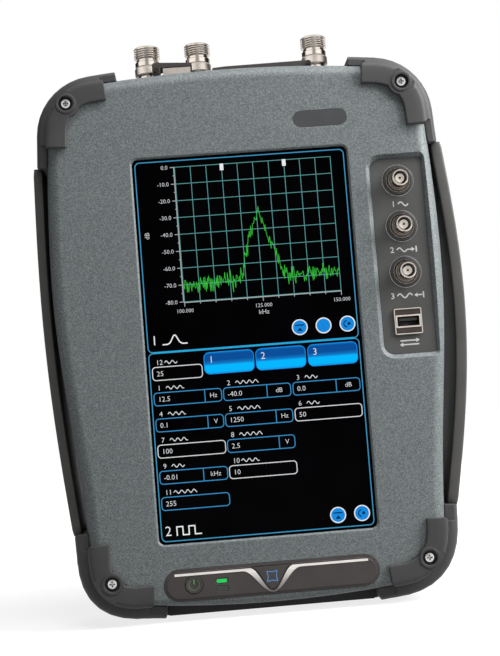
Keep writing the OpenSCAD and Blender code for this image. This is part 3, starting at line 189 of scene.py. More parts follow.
class TesterStage(PropertyGroup):
    """Camera and light."""

    camera_place: FloatVectorProperty(name="Camera place", description="Place of the camera", unit="LENGTH",
                                      subtype="TRANSLATION", default=(-0.03258, -0.73363, 0.12516))
    camera_right: direction("Camera right", "Direction to the right of the picture",
                            (0.99616, -0.03935, -0.07816))
    camera_up: direction("Camera up", "Direction to the top of the picture", (0.07561, -0.06246, 0.99518))
    lens: FloatProperty(name="Lens", description="Focal length, in millimetres", default=65.85, min=10)
    ambient: FloatProperty(name="Ambient", description="Level of the even light", default=0.02, min=0)
    key: power("Key light", "Power of the large lamp at the right", 17.8)
    top: power("Top light", "Power of the lamp above the camera", 10.5)
    fill: power("Fill light", "Power of the weak lamp at the left", 0.3)
    back: power("Back light", "Power of the lamp behind", 12)


# Finishes

class Nodes:
    """Node tree with short calls for the nodes that the finishes and the studio use."""

    def __init__(self, tree):
        self.tree = tree
        self.tree.nodes.clear()

    def add(self, kind):
        return self.tree.nodes.new("ShaderNode" + kind)

    def join(self, source, socket):
        self.tree.links.new(source, socket)

    def feed(self, socket, value):
        """Links a socket to a value, or sets it where the value is a plain number or colour."""
        if isinstance(value, bpy.types.NodeSocket):
            self.join(value, socket)
        else:
            socket.default_value = (*value, 1) if socket.type == "RGBA" else value

    def math(self, operation, first, second):
        node = self.add("Math")
        node.operation = operation
        self.feed(node.inputs[0], first)
        self.feed(node.inputs[1], second)
        return node.outputs[0]

    def axis(self, vector, name):
        """One coordinate of a vector."""
        node = self.add("SeparateXYZ")
        self.join(vector, node.inputs[0])
        return node.outputs[name]

    def ramp(self, value, stops):
        """Colours along a value, as pairs of a position and a colour."""
        node = self.add("ValToRGB")
        elements = node.color_ramp.elements
        while len(elements) < len(stops):
            elements.new(1.0)
        for element, (position, tone) in zip(elements, stops):
            element.position = position
            element.color = (*tone, 1)
        self.join(value, node.inputs[0])
        return node.outputs[0]

    def span(self, value, given, wanted):
        """Value mapped from one range to another and held within it."""
        node = self.add("MapRange")
        for socket, number in zip(node.inputs[1:5], (*given, *wanted)):
            socket.default_value = number
        self.join(value, node.inputs[0])
        return node.outputs[0]

    def mix(self, factor, first, second):
        """Blend of two colours, each a socket or a plain colour."""
        node = self.add("Mix")
        node.data_type = "RGBA"
        self.join(factor, node.inputs[0])
        self.feed(node.inputs[6], first)
        self.feed(node.inputs[7], second)
        return node.outputs[2]

    def seen(self):
        """One where the camera, a reflection or a view through glass sees the surface."""
        path = self.add("LightPath")
        mirrored = self.math("MAXIMUM", path.outputs["Is Glossy Ray"], path.outputs["Is Transmission Ray"])
        return self.math("MAXIMUM", mirrored, path.outputs["Is Camera Ray"])


class Finish(Nodes):
    """Node tree of one surface finish, built on a Principled shader."""

    # Values between which most of a noise lies
    NOISE = (0.3, 0.7)

    def __init__(self, name):
        self.material = bpy.data.materials.new(name)
        self.material.use_nodes = True
        super().__init__(self.material.node_tree)
        output = self.add("OutputMaterial")
        self.shader = self.add("BsdfPrincipled")
        self.join(self.shader.outputs[0], output.inputs["Surface"])
        self.place = self.add("TexCoord").outputs["Object"]

    def set(self, socket, value):
        """Sets an input of the shader to a constant, or links it to a value."""
        self.feed(self.shader.inputs[socket], value)
        return self

    def noise(self, size, detail=2.0, stretch=(1, 1, 1)):
        """Noise whose grains measure about size millimetres."""
        scaled = self.add("Mapping")
        scaled.inputs["Scale"].default_value = stretch
        self.join(self.place, scaled.inputs["Vector"])
        node = self.add("TexNoise")
        node.inputs["Scale"].default_value = 1 / (size * MM)
        node.inputs["Detail"].default_value = detail
        self.join(scaled.outputs[0], node.inputs["Vector"])
        return node.outputs[0]

    def cells(self, size):
        """A random value for each cell of about size millimetres."""
        node = self.add("TexVoronoi")
        node.inputs["Scale"].default_value = 1 / (size * MM)
        self.join(self.place, node.inputs["Vector"])
        split = self.add("SeparateColor")
        self.join(node.outputs["Color"], split.inputs[0])
        return split.outputs[0]

    def cloudy(self, noise, dark, light):
        """Colour that follows a noise between two tones."""
        return self.ramp(noise, list(zip(self.NOISE, (dark, light))))

    def soft_edge(self, radius):
        """Normals rounded over edges by a radius in millimetres."""
        node = self.add("Bevel")
        node.samples = 6
        node.inputs["Radius"].default_value = radius * MM
        return node.outputs[0]

    def edges(self, radius):
        """Mask of the edges within a radius in millimetres."""
        facing = self.add("VectorMath")
        facing.operation = "DOT_PRODUCT"
        self.join(self.soft_edge(radius), facing.inputs[0])
        self.join(self.add("NewGeometry").outputs["Normal"], facing.inputs[1])
        return self.span(facing.outputs["Value"], (0.995, 0.8), (0, 1))

    def hollows(self, reach, strength):
        """Mask of painted shade: the places from which a reach in millimetres is mostly closed in."""
        node = self.add("AmbientOcclusion")
        node.samples = 8
        node.inputs["Distance"].default_value = reach * MM
        return self.span(node.outputs["AO"], (0.8, 0.4), (0, strength))

    def rough(self, noise, smooth, coarse):
        """Roughness that follows a noise between two levels."""
        return self.set("Roughness", self.span(noise, self.NOISE, (smooth, coarse)))

    def bump(self, value, depth, round_edge=0.0):
        """Bumps of a depth in millimetres, over edges rounded by a radius in millimetres."""
        node = self.add("Bump")
        node.inputs["Distance"].default_value = depth * MM
        self.join(value, node.inputs["Height"])
        if round_edge:
            self.join(self.soft_edge(round_edge), node.inputs["Normal"])
        return self.set("Normal", node.outputs[0])

    def scratched_metal(self, body, lines, smooth, coarse):
        """Makes the finish a metal with fine lines, and gives its material."""
        self.set("Base Color", body)
        self.set("Metallic", 1.0)
        self.rough(lines, smooth, coarse)
        return self.bump(lines, depth=0.006, round_edge=0.2).material

    def glowing(self, glow):
        """Makes the finish a lit part of the black screen, and gives its material."""
        self.set("Emission Color", glow)
        self.set("Emission Strength", 1.0)
        self.set("Base Color", linear(2, 2, 3))
        self.set("Specular IOR Level", 0.02)
        return self.set("Roughness", 0.3).material


def shade(tone, factor):
    """Colour made lighter or darker by a factor."""
    return tuple(min(1.0, c * factor) for c in tone)


def flecked_paint(name, tones):
    """Textured paint of fine dark and light grains with sparse pale specks, and edges a little paler as
    slight wear and painted highlight.
    """
    finish = Finish(name)
    grain = finish.noise(tones.fleck_size, detail=4)
    mottle = finish.math("MULTIPLY", finish.math("ADD", grain, finish.cells(tones.fleck_size)), 0.5)
    body = finish.ramp(mottle, [(0.25, tones.paint_dark), (0.5, tones.paint), (0.75, tones.paint_light)])
    specks = finish.span(finish.cells(tones.speck_size), (0.94, 0.97), (0, 0.15))
    body = finish.mix(specks, body, tones.paint_speck)
    # Paler edges: slight wear and a painted highlight, mixed towards the specks' tone.
    wear_and_highlight = finish.span(finish.edges(radius=0.4), (0.2, 1), (0, 0.15))
    finish.set("Base Color", finish.mix(wear_and_highlight, body, tones.paint_speck))
    finish.set("Specular IOR Level", 0.42)
    finish.rough(grain, smooth=0.46, coarse=0.6)
    return finish.bump(grain, depth=0.05, round_edge=0.8).material


def moulded(name, tone, rough, edge=0.5, depth=0.03, lift=1.4, gloss=0.5, grime=0.0, reach=3.0):
    """Moulded rubber or plastic: fine grain, cloudy tone, edges paler as wear and painted highlight, and
    painted shade in its recesses.
    """
    finish = Finish(name)
    grain = finish.noise(size=0.5, detail=3)
    cloud = finish.noise(size=18, detail=3)
    body = finish.cloudy(cloud, shade(tone, 0.88), shade(tone, 1.12))
    # Paler edges, by the lift: partly wear, partly painted highlight.
    wear_and_highlight = finish.span(finish.edges(edge), (0.1, 1), (0, 0.5))
    body = finish.mix(wear_and_highlight, body, shade(tone, lift))
    # Painted shade: recesses darkened towards a near-black copy of the tone.
    if grime:
        body = finish.mix(finish.hollows(reach, grime), body, shade(tone, 0.12))
    finish.set("Base Color", body)
    finish.set("Specular IOR Level", gloss)
    finish.rough(grain, smooth=rough - 0.07, coarse=rough + 0.07)
    return finish.bump(grain, depth, round_edge=edge).material


def plated(name, tone, smooth, coarse, stretch=(1, 1, 1), grime=0.0, reach=1.5):
    """Plated or brushed metal with fine scratches, slight tarnish and painted shade in its recesses."""
    finish = Finish(name)
    lines = finish.noise(size=0.6, detail=4, stretch=stretch)
    cloud = finish.noise(size=6, detail=2)
    body = finish.cloudy(cloud, shade(tone, 0.82), tone)
    # Painted shade: recesses darkened towards a near-black copy of the tone.
    if grime:
        body = finish.mix(finish.hollows(reach, grime), body, shade(tone, 0.06))
    return finish.scratched_metal(body, lines, smooth, coarse)


def trim_strip(name, tone):
    """Bright brushed strip with painted shade that grows darker towards its tip, which points down."""
    finish = Finish(name)
    lines = finish.noise(size=0.6, detail=4, stretch=(0.1, 1, 1))
    # Painted shade: the colour darkens from the top of the strip down to its tip.
    tip, top = low("key_trim").z + 0.5, high("key_trim").z - 1.8
    rise = finish.span(finish.axis(finish.place, "Z"), (tip * MM, top * MM), (0, 1))
    body = finish.ramp(rise, [(0.0, shade(tone, 0.12)), (0.45, shade(tone, 0.4)), (1.0, tone)])
    body = finish.mix(finish.span(lines, (0.35, 0.65), (0, 0.25)), body, shade(tone, 0.5))
    return finish.scratched_metal(body, lines, smooth=0.32, coarse=0.44)


def bayonet_nickel(name, tones):
    """Barrel painted dark for a dark reflection, with painted highlights of bright nickel on its edges and
    its rim, and painted shade in its recesses.
    """
    finish = Finish(name)
    lines = finish.noise(size=0.6, detail=4)
    cloud = finish.noise(size=4, detail=2)
    # Dark nickel tone: a painted dark reflection.
    body = finish.cloudy(cloud, shade(tones.aged_nickel, 0.6), tones.aged_nickel)
    # Painted highlight: the edges turn bright nickel.
    body = finish.mix(finish.edges(radius=0.4), body, tones.nickel)
    # Painted highlight: the rim turns bright nickel.
    rim_end, rim = low(BAYONETS[0]).y + 0.5, low(BAYONETS[0]).y + 0.3
    rim_highlight = finish.span(finish.axis(finish.place, "Y"), (rim_end * MM, rim * MM), (0, 1))
    body = finish.mix(rim_highlight, body, tones.nickel)
    # Painted shade in the recesses.
    body = finish.mix(finish.hollows(reach=1.5, strength=0.9), body, shade(tones.aged_nickel, 0.1))
    return finish.scratched_metal(body, lines, smooth=0.2, coarse=0.32)


def pale_insulator(name, tone):
    """Pale insulator with a painted glow, which brightens it in its recess."""
    finish = Finish(name)
    cloud = finish.noise(size=2, detail=2)
    finish.set("Base Color", finish.cloudy(cloud, shade(tone, 0.94), tone))
    # Painted glow: the insulator shines though it is no lamp.
    finish.set("Emission Color", tone)
    finish.set("Emission Strength", 0.32)
    finish.rough(cloud, smooth=0.35, coarse=0.45)
    return finish.bump(cloud, depth=0.01, round_edge=0.2).material


def dark_glass(name, tone):
    """Black cover glass with faint smears."""
    finish = Finish(name)
    smear = finish.noise(size=25, detail=4)
    finish.set("Base Color", finish.ramp(smear, [(0.3, linear(1, 1, 2)), (0.75, tone)]))
    finish.set("Specular IOR Level", 0.01)
    return finish.rough(smear, smooth=0.06, coarse=0.12).material


def circuit_board(name, tone):
    """Solder mask with fine traces showing through."""
    finish = Finish(name)
    tracks = finish.noise(size=2.5, detail=1, stretch=(1, 6, 1))
    finish.set("Base Color", finish.ramp(tracks, [(0.44, tone), (0.5, shade(tone, 1.8)), (0.56, tone)]))
    finish.rough(tracks, smooth=0.3, coarse=0.45)
    return finish.bump(tracks, depth=0.02).material


def lamp_lens(name, tones):
    """Smoked green lamp window."""
    finish = Finish(name)
    cloud = finish.noise(size=1.5)
    finish.set("Base Color", finish.cloudy(cloud, shade(tones.key_bar, 0.55), tones.lamp_window))
    return finish.rough(cloud, smooth=0.25, coarse=0.4).material


def lit(name, tone, level=1.0):
    """Lit screen element, with the faint stripes of the picture's dots."""
    finish = Finish(name)
    stripes = finish.noise(size=0.35, detail=1, stretch=(1, 1, 0.2))
    return finish.glowing(finish.cloudy(stripes, shade(tone, 0.86 * level), shade(tone, 1.06 * level)))


def glossy_button(name, settings, z_low, z_high):
    """Lit button whose colour runs from a dark top to a bright lower band."""
    finish = Finish(name)
    rise = finish.span(finish.axis(finish.place, "Z"), (z_low * MM, z_high * MM), (0, 1))
    return finish.glowing(finish.ramp(rise, [
        (0.0, settings.button),
        (0.12, settings.button_light),
        (0.38, settings.button_light),
        (0.46, shade(settings.button, 0.75)),
        (0.62, settings.button_dark),
        (0.9, settings.button_dark),
        (1.0, shade(settings.button, 0.9)),
    ]))


# Maker of each finish, the colour that it takes, or none where it takes several, and its settings
# Where a finish darkens its recesses, the darkening is painted shade, out to a reach in millimetres.
FINISHES = {
    "paint": (flecked_paint, None, {}),
    "rubber": (moulded, "rubber", {"rough": 0.58, "edge": 0.8, "gloss": 0.3, "grime": 0.6}),
    "strap_rubber": (moulded, "strap", {"rough": 0.52, "edge": 0.8, "gloss": 0.3, "grime": 1.0,
                                        "reach": 18.0}),
    "cover_rubber": (moulded, "cover", {"rough": 0.5, "edge": 0.4, "gloss": 0.4}),
    "rail_rubber": (moulded, "rail", {"rough": 0.7}),
    "seal": (moulded, "black", {"rough": 0.7}),
    "black_plastic": (moulded, "black", {"rough": 0.5}),
    "stand_plastic": (moulded, "panel", {"rough": 0.52}),
    "panel": (moulded, "panel", {"rough": 0.5, "edge": 0.3, "gloss": 0.35}),
    "key_plastic": (moulded, "key_bar", {"rough": 0.34, "edge": 0.4, "depth": 0.01, "lift": 2.2,
                                         "gloss": 0.25}),
    "badge": (moulded, "badge", {"rough": 0.34, "edge": 0.3, "depth": 0.006}),
    "nickel": (plated, "nickel", {"smooth": 0.1, "coarse": 0.2, "grime": 0.95, "reach": 1.2}),
    "knurled_nickel": (plated, "nickel", {"smooth": 0.26, "coarse": 0.36, "grime": 0.5, "reach": 0.7}),
    "satin_nickel": (plated, "nickel", {"smooth": 0.34, "coarse": 0.46, "stretch": (1, 1, 0.1)}),
    "aged_nickel": (bayonet_nickel, None, {}),
    "bright_trim": (trim_strip, "trim", {}),
    "sheet_steel": (plated, "steel", {"smooth": 0.2, "coarse": 0.32, "grime": 1.0}),
    "port_plate": (plated, "port_plate", {"smooth": 0.3, "coarse": 0.42, "grime": 0.6}),
    "port_shell": (plated, "steel", {"smooth": 0.3, "coarse": 0.42, "grime": 1.0, "reach": 6.0}),
    "pin_steel": (plated, "aged_nickel", {"smooth": 0.25, "coarse": 0.4, "grime": 1.0}),
    "contact": (plated, "gold", {"smooth": 0.18, "coarse": 0.3}),
    "shield": (plated, "steel", {"smooth": 0.3, "coarse": 0.5}),
    "display": (plated, "steel", {"smooth": 0.3, "coarse": 0.45}),
    "insulator": (pale_insulator, "insulator", {}),
    "screen_glass": (dark_glass, "glass", {}),
    "circuit_board": (circuit_board, "board", {}),
    "lamp": (lamp_lens, None, {}),
}

# Nodes whose finish isn't the plain one of their slot
OWN_FINISH = {
    "bottom_rail": "rail_rubber",
    "data_jack_cover": "cover_rubber",
    "port_cover": "cover_rubber",
    "cover_pins": "pin_steel",
    "data_jack": "satin_nickel",
    "usb_frame": "port_plate",
    "usb_shell": "port_shell",
    **dict.fromkeys(BAYONETS, "aged_nickel"),
}


def finish_of(kind, tones):
    """Material of a kind of finish, made once."""
    name = kind + "_finish"
    maker, tone, settings = FINISHES[kind]
    return bpy.data.materials.get(name) or maker(name, getattr(tones, tone) if tone else tones, **settings)


def crease(thing, angle):
    """Gives an object smooth normals between edges that bend by more than an angle in degrees."""
    thing.data.shade_smooth()
    split = thing.modifiers.new("creases", "EDGE_SPLIT")
    split.split_angle = math.radians(angle)
    split.use_edge_sharp = False


def dress(shell, material):
    """Gives a moulded or turned shell its material and smooth normals between its creases."""
    mesh = shell.data
    mesh.materials.clear()
    mesh.materials.append(material)
    if "custom_normal" in mesh.attributes:
        mesh.attributes.remove(mesh.attributes["custom_normal"])
    weld = shell.modifiers.new("joined_corners", "WELD")
    weld.merge_threshold = 0.001 * MM
    crease(shell, angle=28)
    even = shell.modifiers.new("even_normals", "WEIGHTED_NORMAL")
    even.keep_sharp = True


def dress_slots(context, slots):
    """Dresses every frame node whose record slot is one of these."""
    for part in frame["record"]["subparts"]:
        node, slot = part["node"], part["material_slot"]
        if slot in slots:
            dress(frame["nodes"][node], finish_of(OWN_FINISH.get(node, slot), context.scene.tester_finish))


# Mesh builders

def arc(x, z, radius, start, end, count):
    """Points along an arc, angles in degrees, both ends included."""
    turns = [math.radians(start + (end - start) * i / count) for i in range(count + 1)]
    return [(x + radius * math.cos(turn), z + radius * math.sin(turn)) for turn in turns]


def circle(x, z, radius, count=40):
    return arc(x, z, radius, 0, 360, count)[:-1]


def rounded(x0, x1, z0, z1, radius, count=6):
    """Rectangle with round corners, counter-clockwise from the lower right."""
    corners = ((x1 - radius, z0 + radius, -90), (x1 - radius, z1 - radius, 0),
               (x0 + radius, z1 - radius, 90), (x0 + radius, z0 + radius, 180))
    return [p for x, z, turn in corners for p in arc(x, z, radius, turn, turn + 90, count)]


def put(name, data):
    """New object of some data, in the scene."""
    thing = bpy.data.objects.new(name, data)
    bpy.context.scene.collection.objects.link(thing)
    return thing


def piece(name, verts, faces, material, body="body", bend=None):
    """Mesh piece from millimetre points, on a body, smooth where it bends less than an angle in degrees."""
    mesh = bpy.data.meshes.new(name)
    mesh.from_pydata([Vector(v) * MM for v in verts], [], faces)
    if mesh.validate():
        raise RuntimeError(f"{name} has faulty faces")
    mesh.materials.append(material)
    thing = put(name, mesh)
    if bend:
        crease(thing, bend)
    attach(thing, body)
    return thing


class Plates:
    """Thin shapes on a front-facing surface, which stand out by a rise, gathered into one mesh.

    A shape is drawn in millimetres, sideways from the middle and upright from a level.
    """

    def __init__(self, surface, rise, level=0.0):
        self.surface = surface
        self.rise = rise
        self.level = level
        self.verts = []
        self.faces = []

    def add(self, verts, faces):
        start = len(self.verts)
        self.verts += [(x, y, self.level + z) for x, y, z in verts]
        self.faces += [tuple(start + i for i in face) for face in faces]

    def slab(self, outline):
        """Plate of a counter-clockwise outline of sideways places and heights."""
        n = len(outline)
        front = [(x, self.surface - self.rise, z) for x, z in outline]
        back = [(x, self.surface, z) for x, z in outline]
        sides = [(i, i + n, (i + 1) % n + n, (i + 1) % n) for i in range(n)]
        self.add(front + back, [tuple(range(n)), tuple(range(2 * n - 1, n - 1, -1))] + sides)

    def ring(self, outer, inner):
        """Band between two outlines with as many points."""
        n = len(outer)
        depths = (self.surface - self.rise, self.surface)
        verts = [(x, y, z) for loop in (outer, inner) for y in depths for x, z in loop]
        faces = []
        for i in range(n):
            j = (i + 1) % n
            faces += [(i, j, 2 * n + j, 2 * n + i), (n + j, n + i, 3 * n + i, 3 * n + j),
                      (j, i, n + i, n + j), (2 * n + i, 2 * n + j, 3 * n + j, 3 * n + i)]
        self.add(verts, faces)

    def frame(self, x0, x1, z0, z1, radius, line):
        """Outline of a rectangle with round corners."""
        inner = rounded(x0 + line, x1 - line, z0 + line, z1 - line, max(radius - line, 0.05))
        self.ring(rounded(x0, x1, z0, z1, radius), inner)

    def line(self, points, width):
        """Stroke along points, as one thin bar for each stretch."""
        for (xa, za), (xb, zb) in zip(points, points[1:]):
            reach = math.hypot(xb - xa, zb - za)
            ux, uz = (xb - xa) / reach * width / 2, (zb - za) / reach * width / 2
            self.slab([(xa - ux + uz, za - uz - ux), (xb + ux + uz, zb + uz - ux),
                       (xb + ux - uz, zb + uz + ux), (xa - ux - uz, za - uz + ux)])

    def wave(self, points, width):
        """Stroke of one piece along a smooth line."""
        sides = ([], [])
        for i, (x, z) in enumerate(points):
            before, after = points[max(i - 1, 0)], points[min(i + 1, len(points) - 1)]
            run_x, run_z = after[0] - before[0], after[1] - before[1]
            scale = width / 2 / math.hypot(run_x, run_z)
            sides[0].append((x + run_z * scale, z - run_x * scale))
            sides[1].append((x - run_z * scale, z + run_x * scale))
        self.slab(sides[0] + sides[1][::-1])

    def numerals(self, text, x, z, size, align="LEFT", turn=0, weight=-0.014):
        """Plain characters with capitals of a size, their strokes thinned or thickened by a share of it."""
        cap_share = 0.69
        curve = bpy.data.curves.new("numerals", "FONT")
        curve.body = text
        curve.size = size / cap_share
        curve.align_x = align
        curve.align_y = "CENTER"
        curve.resolution_u = 2
        curve.extrude = self.rise / 2
        curve.offset = weight * size
        holder = bpy.data.objects.new("numerals", curve)
        mesh = bpy.data.meshes.new_from_object(holder)
        cos, sin = math.cos(math.radians(turn)), math.sin(math.radians(turn))
        verts = [(x + v.co.x * cos - v.co.y * sin, self.surface - self.rise / 2 - v.co.z,
                  z + v.co.x * sin + v.co.y * cos) for v in mesh.vertices]
        self.add(verts, [tuple(p.vertices) for p in mesh.polygons])
        bpy.data.objects.remove(holder)
        bpy.data.curves.remove(curve)
        bpy.data.meshes.remove(mesh)

    def build(self, name, material, slot, body="body"):
        return piece(name, self.verts, self.faces, material, body)


def skin(loops, closed_run=False, mirrored=False):
    """Faces over a run of loops of equal length, capped at both ends or joined end to end."""
    n = len(loops[0])
    count = len(loops)
    verts = [p for loop in loops for p in loop]
    faces = []
    for k in range(count if closed_run else count - 1):
        for i in range(n):
            a, b = k * n + i, k * n + (i + 1) % n
            c, d = (k + 1) % count * n + (i + 1) % n, (k + 1) % count * n + i
            faces.append((a, b, c, d))
    if not closed_run:
        faces.append(tuple(range(n - 1, -1, -1)))
        faces.append(tuple((count - 1) * n + i for i in range(n)))
    return verts, [face[::-1] for face in faces] if mirrored else faces


def turned(x, y, profile, segments, radius_at):
    """Closed turned shape about an upright axis, from a closed run of radius and height pairs.

    The function radius_at gives the real radius at a radius and height of the run and an angle.
    """
    angles = [2 * math.pi * i / segments for i in range(segments)]
    loops = []
    for radius, z in profile:
        radii = [radius_at(radius, z, angle) for angle in angles]
        loops.append([(x + r * math.cos(a), y + r * math.sin(a), z) for r, a in zip(radii, angles)])
    return skin(loops, closed_run=True)


# Operators, one for each group of pieces

class TESTER_OT_paint_shells(Operator):
    """Paint the two housings and the battery door"""

    bl_idname = "tester.paint_shells"
    bl_label = "Paint Shells"

    def execute(self, context):
        dress_slots(context, {"paint"})
        return {"FINISHED"}


class TESTER_OT_finish_rubber(Operator):
    """Finish the bumpers, covers, straps, seals and the bottom rail"""

    bl_idname = "tester.finish_rubber"
    bl_label = "Finish Rubber"

    def execute(self, context):
        dress_slots(context, {"rubber", "seal", "strap_rubber"})
        return {"FINISHED"}


class TESTER_OT_finish_metal(Operator):
    """Finish the jacks, screws, links, pins, contacts and the bright trim"""

    bl_idname = "tester.finish_metal"
    bl_label = "Finish Metal"

    def execute(self, context):
        dress_slots(context, {"nickel", "sheet_steel", "bright_trim", "contact"})
        return {"FINISHED"}


class TESTER_OT_finish_plastics(Operator):
    """Finish the keys, the side panel, the sockets, the badge, the stand and the insulators"""

    bl_idname = "tester.finish_plastics"
    bl_label = "Finish Plastics"

    def execute(self, context):
        dress_slots(context, {"key_plastic", "lamp", "panel", "black_plastic", "insulator", "badge",
                              "stand_plastic"})
        return {"FINISHED"}


class TESTER_OT_finish_inside(Operator):
    """Finish the glass, the display and the pieces inside the case"""

    bl_idname = "tester.finish_inside"
    bl_label = "Finish Inside"

    def execute(self, context):
        dress_slots(context, {"screen_glass", "display", "circuit_board", "shield"})
        return {"FINISHED"}


class TESTER_OT_build_rf_jacks(Operator):
    """Build the threaded radio-frequency jacks and their knurled collars"""

    bl_idname = "tester.build_rf_jacks"
    bl_label = "Build RF Jacks"

    thread_pitch: length("Thread pitch", "Distance between the turns of the thread", 1.4)
    thread_depth: length("Thread depth", "Depth of the thread", 0.55)
    thread_run: length("Thread run", "Length of the thread with the tip's chamfer", 7.4)
    thread_fade: length("Thread fade", "Length over which the thread runs out at its ends", 0.8)
    tip_chamfer: length("Tip chamfer", "Length of the chamfer at the tip", 0.9)
    groove: length("Groove", "Length of the groove below the thread", 1.6)
    ring: length("Ring", "Length of the plain ring below the groove", 3.4)
    shank: length("Shank", "Radius of the jack's shank inside the collar", 6.4)
    bore: length("Bore", "Radius of the jack's mouth", 5.6)
    bore_depth: length("Bore depth", "Depth of the jack's mouth", 12)
    contact_hole: length("Contact hole", "Radius of the hole for the contact", 1.6)
    collar_height: length("Collar height", "Height of the knurled collar", 5.6)
    knurl_cell: length("Knurl cell", "Size of the diamonds of the knurl", 0.95)
    knurl_depth: length("Knurl depth", "Depth of the knurl", 0.16)

    def thread(self, tip):
        """Radius of the threaded jack at a height and an angle."""
        start, end = tip - self.thread_run, tip - self.tip_chamfer

        def radius_at(radius, z, angle):
            inside = min(z - start, end - z)
            if inside <= 0 or radius < self.shank:
                return radius
            fade = min(1.0, inside / self.thread_fade)
            phase = (z / self.thread_pitch - angle / (2 * math.pi)) % 1
            return radius - self.thread_depth * fade * (1 - abs(2 * phase - 1))
        return radius_at

    def jack(self, node, material):
        """Threaded jack in a node's place. Gives its middle and the height of the top of its collar."""
        base, tip = low(node), high(node)
        centre = (base + tip) / 2
        outer = (tip.x - base.x) / 2
        crest = tip.z - self.tip_chamfer
        root = tip.z - self.thread_run
        groove_end = root - self.groove
        ring_end = groove_end - self.ring
        collar_end = ring_end - self.collar_height
        floor = tip.z - self.bore_depth
        foot_r, ring_r, groove_r, tip_r = self.shank - 0.4, outer - 0.4, outer - 1.3, outer - 0.8
        run_in, bevel, taper, lip = 0.5, 0.3, 0.4, 0.2
        steps = 56
        profile = [(foot_r, base.z), (foot_r, collar_end), (self.shank, collar_end), (self.shank, ring_end),
                   (ring_r - bevel, ring_end), (ring_r, ring_end + bevel), (ring_r, groove_end - taper),
                   (groove_r, groove_end), (groove_r, root), (outer - run_in, root)]
        profile += [(outer, root + run_in + (crest - root - run_in) * i / steps) for i in range(steps + 1)]
        profile += [(tip_r, tip.z), (self.bore + lip, tip.z), (self.bore, tip.z - lip), (self.bore, floor),
                    (self.contact_hole, floor), (self.contact_hole, base.z)]
        verts, faces = turned(centre.x, centre.y, profile, 96, self.thread(tip.z))
        shell = piece(node + "_threaded", verts, faces, material, bend=40)
        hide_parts(node)
        return centre, ring_end

    def collar(self, name, centre, top, material):
        """Collar with a diamond knurl between two plain chamfers."""
        chamfer, steps, points_per_cell = 0.8, 28, 5
        outer = (high("rf_jack_collars").y - low("rf_jack_collars").y) / 2
        shoulder_r, rim_r = outer - 0.3, outer - 0.7
        bore = self.shank + 0.05
        base = top - self.collar_height
        run = self.collar_height - 2 * chamfer
        cells = round(2 * math.pi * outer / self.knurl_cell)

        def radius_at(radius, z, angle):
            if radius <= shoulder_r:
                return radius
            turn = angle / (2 * math.pi) * cells
            lift = z / self.knurl_cell
            slopes = [abs((turn + side * lift) % 1 - 0.5) * 2 for side in (1, -1)]
            return radius - self.knurl_depth * (1 - min(slopes))
        profile = [(bore, base), (rim_r, base), (shoulder_r, base + chamfer)]
        profile += [(outer, base + chamfer + run * i / steps) for i in range(steps + 1)]
        profile += [(shoulder_r, top - chamfer), (rim_r, top), (bore, top)]
        verts, faces = turned(centre.x, centre.y, profile, cells * points_per_cell, radius_at)
        return piece(name, verts, faces, material, bend=40)

    def execute(self, context):
        bright = finish_of("nickel", context.scene.tester_finish)
        satin = finish_of("knurled_nickel", context.scene.tester_finish)
        for side in ("left", "middle", "right"):
            centre, top = self.jack(f"rf_jack_{side}", bright)
            knurled = self.collar(f"rf_collar_{side}_knurled", centre, top, satin)
            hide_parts("rf_jack_collars")
        return {"FINISHED"}


class TESTER_OT_build_low_bumpers(Operator):
    """Build the lower bumpers with full corners and a ring about each screw"""

    bl_idname = "tester.build_low_bumpers"
    bl_label = "Build Low Bumpers"

    left_fill: length("Left fill", "How far the left corner stands out over a plain round one", 4.6)
    right_fill: length("Right fill", "How far the right corner stands out over a plain round one", 2.4)
    screw: places("Screw", "Sideways and upright place of the right screw", (92.17, 25.55))
    heart: places("Corner centre", "Centre of the right corner's rounding", (68.67, 46.55))
    well: length("Well", "Radius about a screw that stays as it is", 4.4)
    boss: length("Boss", "Radius of the round boss about a screw", 6.4)
    ring_inset: length("Ring inset", "Distance of the ring on a boss from the boss's edge", 0.3)
    ring_rise: length("Ring rise", "Height of the ring on a boss", 0.3)
    step: length("Step", "Length above which an edge of the mesh is split", 3)

    def fuller(self, point, screw, fill):
        """Sideways and upright place of a point of the right bumper after its corner is filled out."""
        away = point - Vector(self.heart)
        turn = math.atan2(-away.y, away.x)
        if not 0 < turn < math.pi / 2 or (point - screw).length < self.well:
            return point
        moved = point + away.normalized() * fill * math.sin(2 * turn) ** 2
        if (moved - screw).length < self.boss:
            moved = screw + (point - screw).normalized() * self.boss
        return moved

    def bumper(self, node, side, fill, material):
        """Fuller copy of a bumper, with its side 1 at the right and -1 at the left."""
        screw = Vector(self.screw)
        face = low(node).y + self.ring_rise
        form = bmesh.new()
        form.from_mesh(frame["nodes"][node].data)
        coarse = [edge for edge in form.edges if edge.calc_length() > self.step * MM]
        bmesh.ops.subdivide_edges(form, edges=coarse, cuts=3)
        bmesh.ops.triangulate(form, faces=form.faces)
        for vertex in form.verts:
            x, y, z = vertex.co / MM
            place = self.fuller(Vector((side * x, z)), screw, fill)
            vertex.co = Vector((side * place.x, max(y, face), place.y)) * MM
        mesh = bpy.data.meshes.new(node + "_full")
        form.to_mesh(mesh)
        form.free()
        bumper = put(node + "_full", mesh)
        dress(bumper, material)
        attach(bumper, "body")
        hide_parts(node)
        ring = Plates(face, self.ring_rise)
        radii = (self.boss - self.ring_inset, self.well)
        ring.ring(*[circle(side * screw.x, screw.y, radius, 48) for radius in radii])
        ring.build(node + "_ring", material, "rubber")

    def execute(self, context):
        material = finish_of("rubber", context.scene.tester_finish)
        self.bumper("bumper_bottom_left", -1, self.left_fill, material)
        self.bumper("bumper_bottom_right", 1, self.right_fill, material)
        return {"FINISHED"}


